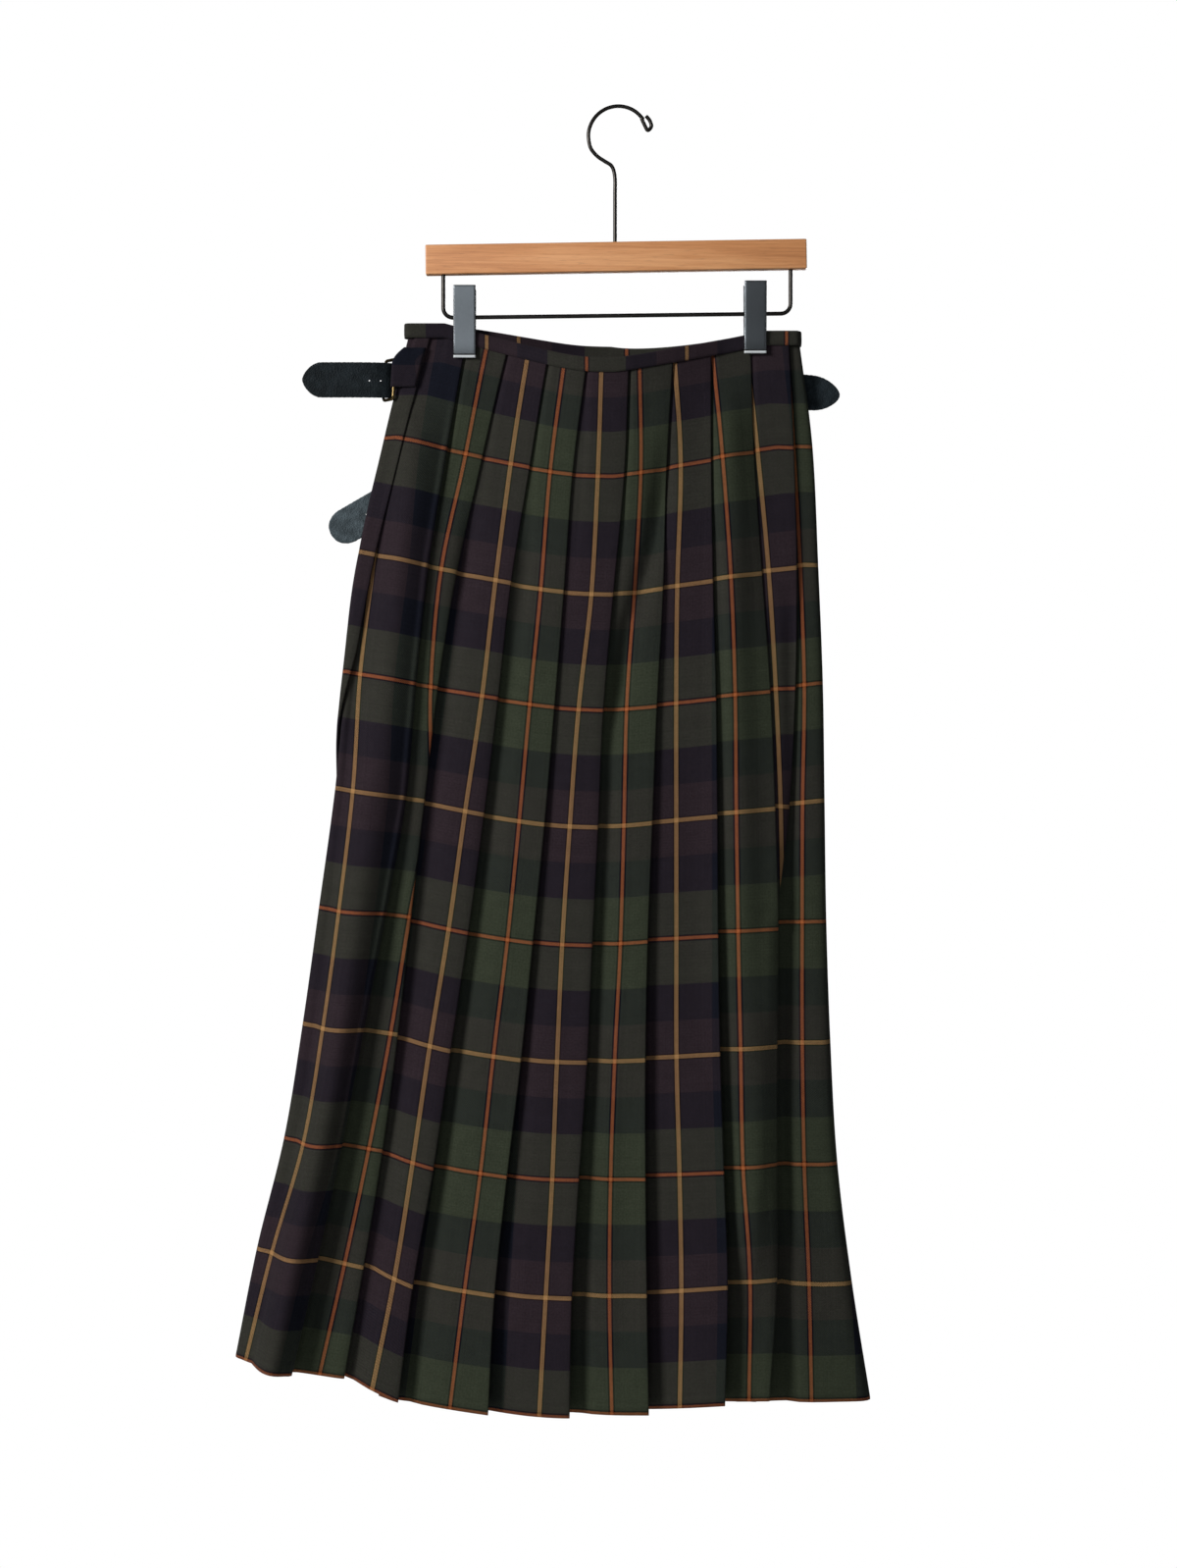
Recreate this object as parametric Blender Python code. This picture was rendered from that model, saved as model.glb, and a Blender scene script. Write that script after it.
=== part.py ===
"""A pleated tartan kilt hanging by its waistband from a clip hanger, back view forward.

The back panel's knife pleats face -Y, +X is to the right of that view and +Z is up.  The origin is the
inside top of the hanger's hook, where a rail carries it.  Sizes in the tables are in millimetres.
"""

import math

import bmesh
import bpy
from mathutils import Matrix, Vector

MM = 0.001

# Cloth
WALL = 1.0
SEAM_GAP = 0.3
LAYER = 1.35               # from the middle of one layer of folded cloth to the middle of the next
FOLD_RADIUS = LAYER / 2
FOLD_SPACE = 4.5           # from a fold to the next pleat's inner fold, at least
TUCK_STEP = 7.0            # from the inner fold above it to that of the pleat which slips under
RETURN_STOPS = {"z": (0.2, 0.4, 0.6, 0.8), "h": (0.2, 0.4, 0.7)}
HALF_SETT = 100.5          # one stripe of the tartan to the next; each pleat takes up this much cloth
BAND_HEIGHT = 12.8
BAND_TUCK = 11.0           # how far the panels' top edges go up inside the folded band
BAND_PLAY = 0.4            # clear space between the band's legs and the cloth between them
Z_FACE = 45.0              # the first pleat's face, from the under-apron's seam to its fold
Z_FOLD_DEPTH = 11.0
Z_LIFT = 3.6
Z_LEVEL_RUN = 12.0         # from the seam to where its face starts to rise
OVER_LAP = 2.1             # how much wider the right turn is, so that the over-apron clears the under-apron
OVER_EASE = 1.4            # and wider still by this much below the waist
APRON_SEAM = 30.0          # from the right turn to the over-apron's seam
UNDER_FREE = 7.0           # the under-apron's free edge lies this far inside the right turn
OVER_FREE = 13.0           # the over-apron's free edge lies this far inside the left edge
ROWS = ((0, 2, 4), (2, 4, 7), (4, 6, 3), (6, 9, 3))      # from level, to level, sections between
HANG_MID = -6.0            # where the waist sags lowest
CLIP_HALF = 114.0          # half the span of the waist that hangs free between the clips
LEFT_BEND = -145.0         # behind each clip the waist bends from its sag to a level line
RIGHT_BEND = 128.0

# One row for each level down the skirt, each at a stripe of the tartan but for the first, at the band.
# drop: along the cloth below the band.  left, right: the side edges.  z_left, z_mid, z_right: height of
# the level there.  turn: radius of the left edge.  near, far: how far the back and the aprons swell out at
# the middle.  lift: how far a pleat's fold stands off the cloth behind it.  cling: how much of the hidden
# part of a pleat lies flat.  tuck_lift: how far the narrow last pleat's fold stands off.
LEVEL_COLUMNS = ("drop", "left", "right", "z_left", "z_mid", "z_right", "turn", "near", "far",
                 "lift", "cling", "tuck_lift")
LEVELS = (
    (0.0, -181.0, 157.5, -198.5, -228.0, -206.5, 2.6, 16.0, 14.0, 3.6, 0.95, 3.6),
    (92.5, -201.5, 168.5, -286.5, -321.0, -294.5, 4.0, 13.0, 10.0, 4.2, 0.90, 4.2),
    (193.0, -223.0, 173.5, -385.0, -422.5, -397.0, 5.5, 10.0, 7.0, 5.4, 0.80, 4.8),
    (293.5, -235.0, 177.5, -488.5, -522.0, -498.5, 7.0, 8.5, 5.5, 7.6, 0.70, 5.6),
    (394.0, -244.5, 179.0, -589.0, -622.5, -600.0, 8.0, 8.0, 5.0, 10.0, 0.62, 6.4),
    (494.5, -258.5, 180.5, -692.0, -723.5, -704.0, 9.5, 8.0, 5.0, 12.4, 0.55, 8.0),
    (595.0, -272.5, 184.0, -792.5, -823.5, -808.0, 11.0, 8.0, 5.0, 14.8, 0.48, 8.5),
    (695.5, -288.5, 190.0, -889.5, -923.5, -911.0, 12.5, 8.0, 5.0, 17.2, 0.42, 9.0),
    (796.0, -312.0, 202.5, -983.5, -1022.5, -1013.0, 14.5, 8.0, 5.0, 19.6, 0.36, 9.0),
    (896.5, -330.5, 218.5, -1076.0, -1120.5, -1110.0, 16.0, 8.0, 5.0, 22.0, 0.30, 9.0),
)

# One row for each pleat, left to right: where its outer fold lies at each level.  share: its part of the
# level's lift.  belly: how much its face rounds out.
FOLDS = (
    ("z", 0.50, 0.00, (-163, -185.5, -210, -230, -255.5, -274.5, -291, -309.5, -337, -358)),
    ("a", 0.85, 1.10, (-132, -147.5, -163.5, -174, -182.5, -199.5, -218, -236.5, -257, -279)),
    ("b", 0.95, 0.12, (-97, -117.5, -139.5, -155.5, -167, -178.5, -189.5, -202.5, -218.5, -235)),
    ("c", 0.85, 0.25, (-62, -76.5, -92.5, -103.5, -115.5, -129, -144, -158.5, -176, -188.5)),
    ("d", 0.90, 0.12, (-28.5, -39.5, -47, -55, -63.5, -73.5, -83.5, -95.5, -106, -111.5)),
    ("e", 1.00, 0.12, (8.5, 5, -4.5, -13, -17.5, -22.5, -27, -34, -40, -42)),
    ("f", 1.00, 0.12, (46.5, 41.5, 38.5, 33, 29, 25, 23, 23, 24, 25.5)),
    ("g", 1.05, 0.12, (80, 80, 81.5, 84, 85, 85.5, 87, 90, 93, 90.5)),
    ("h", 0.95, 0.12, (114.5, 117, 124, 131, 135, 137.5, 136.5, 136, 136, 129)),
    ("i", 1.00, 0.00, (147.5, 151.5, 154, 153, 147.5, 135.5, 130, 126, 123, 118)),
)

# Where each pleat's own stripe lies at each level, which fixes how much cloth is folded away beside it.
STRIPES = {
    "a": (-187, -201, -210.5, -222.5, -228, -239.5, -253, -269.5, -297.5, -320.5),
    "b": (-114, -131.5, -152.5, -161.5, -162.5, -179.5, -195.5, -214, -234.5, -256),
    "c": (-78.5, -92.5, -105.5, -117, -131.5, -145.5, -161.5, -176, -191.5, -210.5),
    "d": (-47, -58.5, -66.5, -76, -85, -95, -107, -118, -131.5, -144),
    "e": (-14.5, -17.5, -23, -34, -41.5, -48, -52.5, -56.5, -62, -67.5),
    "f": (18.5, 19.5, 14, 7.5, 5, 2, -3, -6.5, -7.5, -5.5),
    "g": (49, 54, 51, 50, 50, 50, 50, 52.5, 54, 52.5),
    "h": (82, 90, 97, 100.5, 101.5, 103, 105, 107, 113, 112),
    "i": (116, 120.5, 130, 136, 140, 141, 140.5, 140.5, 140, 139.5),
    "j": (149.5, 152, 157.5, 161, 159.5, 159, 159, 160.5, 164.5, 166.5),
}


# ---------------------------------------------------------------- materials and plain shapes

def material(name, colour, roughness, metallic=0.0):
    """A Principled material with one colour."""
    made = bpy.data.materials.new(name)
    made.use_nodes = True
    shader = made.node_tree.nodes["Principled BSDF"]
    shader.inputs["Base Color"].default_value = (*colour, 1.0)
    shader.inputs["Roughness"].default_value = roughness
    shader.inputs["Metallic"].default_value = metallic
    made.diffuse_color = (*colour, 1.0)
    return made


def mesh_object(name, points, faces, finish, smooth_angle=40.0):
    """An object from points in millimetres."""
    mesh = bpy.data.meshes.new(name)
    mesh.from_pydata([Vector(p) * MM for p in points], [], faces)
    made = bpy.data.objects.new(name, mesh)
    bpy.context.collection.objects.link(made)
    finish_object(made, finish, smooth_angle)
    return made


def finish_object(made, finish, smooth_angle=40.0):
    """Turns every face outward, gives the object its material and shades it."""
    work = bmesh.new()
    work.from_mesh(made.data)
    bmesh.ops.recalc_face_normals(work, faces=work.faces)
    work.to_mesh(made.data)
    work.free()
    made.data.materials.clear()
    made.data.materials.append(finish)
    made.data.shade_smooth()
    made.data.set_sharp_from_angle(angle=math.radians(smooth_angle))


def block(name, centre, size, bevel, finish, tilt=0.0):
    """A box with eased edges, turned about Y through its centre."""
    work = bmesh.new()
    bmesh.ops.create_cube(work, size=1.0)
    bmesh.ops.scale(work, vec=Vector(size) * MM, verts=work.verts)
    if bevel:
        bmesh.ops.bevel(work, geom=work.edges[:], offset=bevel * MM, segments=2, profile=0.5,
                        affect="EDGES", clamp_overlap=True)
    bmesh.ops.rotate(work, matrix=Matrix.Rotation(tilt, 3, "Y"), verts=work.verts)
    bmesh.ops.translate(work, vec=Vector(centre) * MM, verts=work.verts)
    mesh = bpy.data.meshes.new(name)
    work.to_mesh(mesh)
    work.free()
    made = bpy.data.objects.new(name, mesh)
    bpy.context.collection.objects.link(made)
    finish_object(made, finish)
    return made


def smooth_route(points, steps):
    """A Catmull-Rom curve through the points, with so many steps between each two."""
    path = [Vector(p) for p in points]
    ends = [path[0] * 2 - path[1]] + path + [path[-1] * 2 - path[-2]]
    route = []
    for k in range(1, len(ends) - 2):
        before, start, stop, after = ends[k - 1:k + 3]
        for step in range(steps):
            t = step / steps
            route.append(0.5 * (2 * start + (stop - before) * t
                                + (2 * before - 5 * start + 4 * stop - after) * t ** 2
                                + (3 * start - before - 3 * stop + after) * t ** 3))
    route.append(path[-1])
    return route


def wire(name, points, radius, finish, closed=False):
    """A round wire along the points: a curve with a bevel and filled ends."""
    curve = bpy.data.curves.new(name, "CURVE")
    curve.dimensions = "3D"
    curve.bevel_depth = radius * MM
    curve.bevel_resolution = 2
    curve.use_fill_caps = not closed
    spline = curve.splines.new("POLY")
    spline.points.add(len(points) - 1)
    for place, point in zip(spline.points, points):
        place.co = (*(Vector(point) * MM), 1.0)
    spline.use_cyclic_u = closed
    curve.materials.append(finish)
    made = bpy.data.objects.new(name, curve)
    bpy.context.collection.objects.link(made)
    return made


def combine(target, piece, operation):
    """Takes a piece from the target or joins it on; the piece is left as a hidden guide."""
    piece.hide_render = True
    piece.display_type = "WIRE"
    step = target.modifiers.new(piece.name, "BOOLEAN")
    step.operation = operation
    step.object = piece


def bore(target, name, centre, radius, depth, axis):
    """Cuts a round hole along X or Z into the target."""
    work = bmesh.new()
    bmesh.ops.create_cone(work, cap_ends=True, segments=16, radius1=radius * MM, radius2=radius * MM,
                          depth=depth * MM)
    if axis == "X":
        bmesh.ops.rotate(work, matrix=Matrix.Rotation(math.pi / 2, 3, "Y"), verts=work.verts)
    bmesh.ops.translate(work, vec=Vector(centre) * MM, verts=work.verts)
    mesh = bpy.data.meshes.new(name)
    work.to_mesh(mesh)
    work.free()
    cutter = bpy.data.objects.new(name, mesh)
    bpy.context.collection.objects.link(cutter)
    combine(target, cutter, "DIFFERENCE")


# ---------------------------------------------------------------- the form of the hanging skirt

def between(values, place):
    """A smooth value from a list with one number for each level, at a fractional level."""
    last = len(values) - 1
    k = min(int(place), last - 1)
    t = place - k
    start, stop = values[k], values[k + 1]
    before = values[k - 1] if k > 0 else 2 * start - stop
    after = values[k + 2] if k + 2 <= last else 2 * stop - start
    return 0.5 * (2 * start + (stop - before) * t + (2 * before - 5 * start + 4 * stop - after) * t ** 2
                  + (3 * start - before - 3 * stop + after) * t ** 3)


class Section:
    """The skirt's form along one line of the weave, at a fractional level, raised by so much."""

    def __init__(self, place, raised=0.0):
        columns = list(zip(*LEVELS))
        for name, values in zip(LEVEL_COLUMNS, columns):
            setattr(self, name, between(values, place))
        self.raised = raised
        self.near_side = 0.6 - self.turn
        self.left_centre = self.left + self.turn
        ease = min(1.0, self.drop / 300.0)
        self.reach = ease * ease * (3.0 - 2.0 * ease)
        self.fullness = min(1.0, self.drop / 160.0)
        self.right_turn = self.turn + OVER_LAP + OVER_EASE * self.reach
        self.right_centre = self.right - self.right_turn
        self.edge = {name: between(edges, place) for name, _, _, edges in FOLDS}
        self.stripe = {name: between(spots, place) for name, spots in STRIPES.items()}

    def swell(self, x):
        """How much of the full swell the layers have at x: none at the clips, and none at the edges."""
        half = CLIP_HALF + ((self.right - self.left) / 2 - CLIP_HALF) * self.reach
        middle = HANG_MID + ((self.right + self.left) / 2 - HANG_MID) * self.reach
        t = (x - middle) / half
        return (1.0 - t * t) ** 2 if abs(t) < 1.0 else 0.0

    def ripple(self, x):
        """The aprons' slow waves, which grow towards the hem."""
        inside = max(0.0, min(1.0, (x - self.left) / 60.0, (self.right - x) / 60.0))
        return 4.0 * (self.drop / 900.0) * inside * math.sin((x - 0.12 * self.drop) / 27.0)

    def under_y(self, x):
        return self.near_side + 2 * self.turn + self.far * self.swell(x) + self.ripple(x)

    def over_y(self, x):
        return self.near_side + 2 * self.right_turn + self.far * self.swell(x) + self.ripple(x)

    def height(self, x, on_far_side):
        """Height of this line of the weave at x: it sags between its two ends."""
        middle = self.z_mid + (9.0 * (1.0 - 0.5 * self.reach) + 4.0 if on_far_side else 0.0)
        if x < HANG_MID:
            end = LEFT_BEND + (self.left - LEFT_BEND) * self.reach
            return middle + (self.z_left - middle) * rise((HANG_MID - x) / (HANG_MID - end), 0.20)
        end = RIGHT_BEND + (self.right - RIGHT_BEND) * self.reach
        return middle + (self.z_right - middle) * rise((x - HANG_MID) / (end - HANG_MID), 0.05)

    def point(self, along, out):
        """A point so far along the cloth's round and so far out from it.

        Along is x on the near side.  It runs on round the left edge to the under-apron, and round the
        right edge to the over-apron.
        """
        far_side = False
        if along < self.left_centre:
            angle = (self.left_centre - along) / self.turn
            if angle <= math.pi:
                x = self.left_centre - (self.turn + out) * math.sin(angle)
                y = self.near_side + self.turn - (self.turn + out) * math.cos(angle)
            else:
                far_side = True
                x = self.left_centre + (angle - math.pi) * self.turn
                y = self.under_y(x) + out
        elif along > self.right_centre:
            angle = (along - self.right_centre) / self.right_turn
            if angle <= math.pi:
                x = self.right_centre + (self.right_turn + out) * math.sin(angle)
                y = self.near_side + self.right_turn - (self.right_turn + out) * math.cos(angle)
            else:
                far_side = True
                x = self.right_centre - (angle - math.pi) * self.right_turn
                y = self.over_y(x) + out
        else:
            x = along
            y = self.near_side - self.near * self.swell(x) - out
        return Vector((x, y, self.height(x, far_side) + self.raised))

    def under_at(self, x):
        """Along, for a place on the under-apron."""
        return self.left_centre - math.pi * self.turn - (x - self.left_centre)

    def over_at(self, x):
        """Along, for a place on the over-apron."""
        return self.right_centre + math.pi * self.right_turn + (self.right_centre - x)


def rise(t, flat):
    """0 to 1: nearly level over the flat part, then a steady climb."""
    def bend(value):
        return value - flat + math.sqrt((value - flat) ** 2 + 0.015)
    t = min(1.0, t)
    return (bend(t) - bend(0.0)) / (bend(1.0) - bend(0.0))


def all_sections(first_raise):
    """The top edge, raised above the first level, and then every section down to the hem."""
    rows = [Section(0.0, first_raise), Section(0.0)]
    for start, stop, count in ROWS:
        rows += [Section(start + (stop - start) * k / count) for k in range(1, count + 1)]
    return rows


def in_order(low, high, wanted):
    """Places kept between low and high and in order, half a millimetre apart at least."""
    places = []
    for place in wanted:
        least = places[-1] + 0.5 if places else low
        places.append(max(least, place))
    for k in range(len(places) - 1, -1, -1):
        most = places[k + 1] - 0.5 if k + 1 < len(places) else high
        places[k] = min(most, places[k])
    return places


def layer_height(layer, along):
    """How far out a layer of cloth lies at a place, or None where it does not reach."""
    for (start, start_out), (stop, stop_out) in zip(layer, layer[1:]):
        if start <= along <= stop:
            return start_out + (stop_out - start_out) * (along - start) / (stop - start)
    return None


def clear_of(layers, along):
    """The least height at which one more layer lies clear over these, here and just beside."""
    found = [layer_height(layer, along + aside) for layer in layers for aside in (-1.4, 0.0, 1.4)]
    return max([height + LAYER for height in found if height is not None] + [0.0])


def cloth_wall(name, paths, finish, wall=WALL):
    """A closed wall of cloth through rows of points along its middle, one row for each section.

    Each patch of it is split across its shorter slant, so that layers which lie close bend alike.
    """
    count = len(paths[0])
    points = []
    for path in paths:
        outer = []
        inner = []
        for k, place in enumerate(path):
            ahead = path[min(k + 1, count - 1)]
            behind = path[max(k - 1, 0)]
            run = Vector((ahead.x - behind.x, ahead.y - behind.y, 0.0)).normalized()
            side = Vector((run.y, -run.x, 0.0)) * (wall / 2)
            outer.append(place + side)
            inner.append(place - side)
        points += outer + inner
    faces = []
    for row in range(len(paths) - 1):
        top = row * 2 * count
        low = top + 2 * count
        for k in range(count - 1):
            slant = paths[row][k] - paths[row + 1][k + 1]
            other = paths[row][k + 1] - paths[row + 1][k]
            turned = other.length < slant.length
            for side, outward in ((0, True), (count, False)):
                corners = [top + side + k, top + side + k + 1, low + side + k + 1, low + side + k]
                if turned:
                    corners = corners[1:] + corners[:1]
                for first, second in ((1, 2), (2, 3)):
                    patch = (corners[0], corners[first], corners[second])
                    faces.append(patch if outward else patch[::-1])
        faces.append((top + count, top, low, low + count))
        faces.append((top + count - 1, top + 2 * count - 1, low + 2 * count - 1, low + count - 1))
    last = (len(paths) - 1) * 2 * count
    for k in range(count - 1):
        faces.append((k + 1, k, count + k, count + k + 1))
        faces.append((last + k, last + k + 1, last + count + k + 1, last + count + k))
    return mesh_object(name, points, faces, finish, 60.0)


# ---------------------------------------------------------------- the panels

def inner_folds(row):
    """Where each pleat's cloth turns forward again, behind its face."""
    names = [name for name, _, _, _ in FOLDS]
    inner = {"z": row.edge["z"] - Z_FOLD_DEPTH}
    for before, name, following in zip(names, names[1:], names[2:] + ["j"]):
        depth = (HALF_SETT - (row.stripe[following] - row.stripe[name])) / 2
        spacing = row.edge[name] - row.edge[before]
        beside = max(0.0, min(1.0, spacing / 30.0))
        depth += beside * (min(depth, spacing - FOLD_SPACE) - depth)
        inner[name] = row.edge[name] - depth
    inner["i"] = max(inner["i"], inner["h"] + TUCK_STEP)
    return inner


def face_stops(row, name, start, ramp_from, inner):
    """Where a pleat's face has its points, from its inner fold to its outer one."""
    edge = row.edge[name]
    lapped = [Z_FOLD_DEPTH * share for share in RETURN_STOPS["z"]]
    if name == "z":
        turn = min(row.left_centre - math.pi * row.turn, inner - 8.0)
        wanted = [(start + turn) / 2, turn]
        wanted += [turn + (inner - 1.2 - turn) * k / 5 for k in range(1, 6)]
        wanted += [inner + along for along in lapped]
    elif name == "a":
        clear = start + Z_FOLD_DEPTH
        turn = max(row.left_centre, clear + 8.0)
        wanted = [start + along for along in lapped]
        wanted += [clear + (turn - clear) * k / 4 for k in range(5)]
        wanted += [(turn + inner) / 2, inner - 1.2]
        wanted.append((inner + edge) / 2)
    else:
        rise_from = (start + inner) / 2 if name == "i" else ramp_from
        wanted = [(start + rise_from) / 2, rise_from, inner - 1.2]
        wanted += [inner + (edge - inner) * share for share in (0.25, 0.7)]
    return in_order(start + 1.2, edge - 1.2, wanted)


def pleat_path(row):
    """(along, out) through the pleated back's middle in one section, from seam to seam.

    It is laid from the last face, which lies at the bottom, to the first: each layer takes its own wanted
    height, or lies clear over what is already under it.
    """
    names = [name for name, _, _, _ in FOLDS]
    inner = inner_folds(row)
    left_start = row.edge["z"] - Z_FACE
    right_turn = [row.right_centre + math.pi * row.right_turn * share
                  for share in (0.0, 0.25, 0.5, 0.75, 1.0)]
    end = right_turn[-1] + APRON_SEAM
    last = [inner["i"] + (row.right_centre - inner["i"]) * share for share in (0.3, 0.55, 0.8)]
    tail = [(stop, 0.0) for stop in last + right_turn + [right_turn[-1] + 12.0, end]]
    below = [[(inner["i"], 0.0), (end, 0.0)]]
    path = tail
    following_base = 0.0
    r = FOLD_RADIUS
    for k in range(len(names) - 1, -1, -1):
        name, share, belly, _ = FOLDS[k]
        edge = row.edge[name]
        start = inner[names[k - 1]] if k else left_start
        hidden = row.edge[names[k - 1]] - start if k else 0.0
        wanted_top = {"z": Z_LIFT, "i": row.tuck_lift}.get(name, row.lift * share)
        top = max(wanted_top, clear_of(below, edge - r) + LAYER)
        if name == "z":
            ramp_from = start + Z_LEVEL_RUN
        elif name == "a":
            ramp_from = max(start + Z_FOLD_DEPTH * row.cling, row.left_centre)
        else:
            ramp_from = start + min(row.cling * hidden, 0.7 * (edge - start))

        back = [(inner[name] + r, following_base + LAYER)]
        for part_way in RETURN_STOPS.get(name, (0.5,)):
            along = inner[name] + (edge - inner[name]) * part_way
            straight = back[0][1] + (top - LAYER - back[0][1]) * part_way
            back.append((along, max(straight, clear_of(below, along))))
        back.append((edge - r, top - LAYER))
        below.append([(inner[name], back[0][1])] + back)

        face = []
        for stop in face_stops(row, name, start, ramp_from, inner[name]):
            t = max(0.0, (stop - ramp_from) / (edge - ramp_from))
            t = t * t if name == "z" else t + belly * row.fullness * math.sin(math.pi * t)
            face.append((stop, max(top * t, clear_of(below, stop))))
        face.append((edge - r, top))
        first = start + r if k else start
        base = clear_of(below, first)
        below.append([(start, base), (first, base)] + face)
        face.insert(0, (first, base))
        fold = [(edge, top - r)]
        turn_in = [(inner[name], following_base + r), (inner[name] + r, following_base)]
        path = face + fold + back[::-1] + turn_in[:1] + (turn_in[1:] if name == "i" else []) + path
        following_base = base
    return path


def under_apron_stops(row):
    """From its free edge inside the right turn to the seam beside the first pleat."""
    free = row.right_centre - UNDER_FREE
    seam_along = row.edge["z"] - Z_FACE - SEAM_GAP
    seam_x = row.left_centre + (row.left_centre - math.pi * row.turn - seam_along)
    return [row.under_at(free + (seam_x - free) * k / 15) for k in range(16)]


def over_apron_stops(row):
    """From the seam behind the right edge to its free edge behind the left edge."""
    seam_x = row.right_centre - APRON_SEAM - SEAM_GAP
    free = row.left + OVER_FREE
    return [row.over_at(seam_x + (free - seam_x) * k / 15) for k in range(16)]


def highest(path, along):
    """How far out the uppermost layer of a path lies at a place."""
    reach = [0.0]
    for (start, start_out), (stop, stop_out) in zip(path, path[1:]):
        if min(start, stop) <= along <= max(start, stop) and start != stop:
            reach.append(start_out + (stop_out - start_out) * (along - start) / (stop - start))
    return max(reach)


def rest_height(path, along, beside):
    """How far out something stiff lies on a path, resting on what is highest this far to each side."""
    return max(highest(path, along + beside * share) for share in (-1.0, -0.5, 0.0, 0.5, 1.0))


def flat_path(row, stops):
    """An apron's middle line in one section."""
    return [row.point(along, 0.0) for along in stops]


def waistband(finish):
    """One strip folded over the top edges, as a channel swept from free edge to free edge."""
    row = Section(0.0)
    snug = WALL / 2 + BAND_PLAY
    under = under_apron_stops(row) + [row.under_at(RIGHT_BEND), row.under_at(LEFT_BEND)]
    under.append(under[0] - 1.0)
    far_from = row.left_centre - math.pi * row.turn
    left_turn = [row.left_centre - math.pi * row.turn * share for share in (1.0, 0.75, 0.5, 0.25, 0.0)]
    left_turn += [far_from - 3.0, far_from - 6.0]
    pleats_to = row.edge["i"] + 8.0
    near = [row.edge["z"] - 12.0, row.edge["z"], LEFT_BEND, RIGHT_BEND]
    near += [row.edge["z"] + (pleats_to - row.edge["z"]) * k / 24 for k in range(1, 25)]
    right_turn = [row.right_centre + math.pi * row.right_turn * share
                  for share in (0.0, 0.25, 0.5, 0.75, 1.0)]
    over = [row.over_at(RIGHT_BEND), row.over_at(LEFT_BEND)] + over_apron_stops(row)
    over.append(over[-1] + 1.0)
    points = []
    stations = sorted(under + left_turn + near + right_turn + over)
    cloth = pleat_path(row)
    for along in stations:
        thick = rest_height(cloth, along, 1.5 if along < far_from else 7.0)
        outside = thick + snug + WALL
        inside = -snug - WALL
        profile = ((outside, 0.0), (outside, BAND_HEIGHT), (inside, BAND_HEIGHT), (inside, 0.0),
                   (inside + WALL, 0.0), (inside + WALL, BAND_HEIGHT - WALL),
                   (outside - WALL, BAND_HEIGHT - WALL), (outside - WALL, 0.0))
        for out, up in profile:
            points.append(row.point(along, out) + Vector((0.0, 0.0, up)))
    size = 8
    faces = [tuple(range(size)), tuple(range(len(points) - 1, len(points) - 1 - size, -1))]
    for k in range(len(stations) - 1):
        for side in range(size):
            following = (side + 1) % size
            faces.append((k * size + side, (k + 1) * size + side,
                          (k + 1) * size + following, k * size + following))
    return mesh_object("waistband", points, faces, finish, 40.0)


# ---------------------------------------------------------------- leather straps, buckle and tab

STRAP_WIDTH = 30.6
STRAP_THICK = 2.4
STRAP_REST = 2.5           # from the over-apron's outer side to the middle of the leather sewn on it

HIP_ROOT = (-171.0, -323.0)
HIP_TIP = (-249.5, -369.0)
BUCKLE_Z = -235.9          # middle of the buckle's height
BUCKLE_HEIGHT = 34.2       # between the middles of its two arms
BUCKLE_WIRE = 1.4
BUCKLE_CORNER = 2.6
INNER_BAR = (-193.5, -7.0)
OUTER_BAR = (-202.5, 4.5)
BUCKLE_LEAN = 0.06

TAB_HEIGHTS = (-208.8, -216.0, -223.0, -233.0, -242.6)
TAB_FOLD_RADIUS = 2.35
TAB_ROOT_X = -168.0
# The tab's upper corner is cut away beside the frame's arm: x and z round the cut.
TAB_CUT = ((-190.6, -222.6), (-189.3, -215.0), (-183.8, -210.4), (-183.0, -205.0), (-204.0, -205.0),
           (-204.0, -222.6))
TAB_LAYER_GAP = 0.5


def place_for(z, x, far_side):
    """The fractional level whose line of the weave passes through this height at x."""
    low = 0.0
    high = float(len(LEVELS) - 1)
    for _ in range(40):
        middle = (low + high) / 2
        if Section(middle).height(x, far_side) > z:
            low = middle
        else:
            high = middle
    return low


def on_over_apron(x, z, out):
    """A point so far out from the over-apron's outer side."""
    row = Section(place_for(z, x, True))
    return Vector((x, row.over_y(x) + WALL / 2 + out, z))


def flat_strap(name, route, across, tip_length, finish):
    """A leather strap along the route, with a blunt rounded tip at the route's end."""
    total = sum((b - a).length for a, b in zip(route, route[1:]))
    gone = 0.0
    points = []
    for k, centre in enumerate(route):
        if k:
            gone += (centre - route[k - 1]).length
        run = (route[min(k + 1, len(route) - 1)] - route[max(k - 1, 0)]).normalized()
        normal = run.cross(across).normalized() * (STRAP_THICK / 2)
        left = max(0.0, min(1.0, (total - gone) / tip_length))
        half = STRAP_WIDTH / 2 * (0.2 + 0.8 * math.sqrt(1.0 - (1.0 - left) ** 2))
        wide = across * half
        points += [centre - wide - normal, centre + wide - normal, centre + wide + normal,
                   centre - wide + normal]
    faces = [(0, 1, 2, 3), tuple(len(points) - 4 + k for k in (3, 2, 1, 0))]
    for k in range(len(route) - 1):
        for side in range(4):
            following = (side + 1) % 4
            faces.append((4 * k + side, 4 * k + following, 4 * k + 4 + following, 4 * k + 4 + side))
    return mesh_object(name, points, faces, finish, 30.0)


def with_tip(route, tip_length, steps=5):
    """Adds the close-set stations that round a strap's tip."""
    start = route[-2]
    stop = route[-1]
    length = (stop - start).length
    shares = [1.0 - tip_length / length * (1.0 - k / steps) ** 2 for k in range(steps)]
    return route[:-1] + [start.lerp(stop, share) for share in shares] + [stop]


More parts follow.
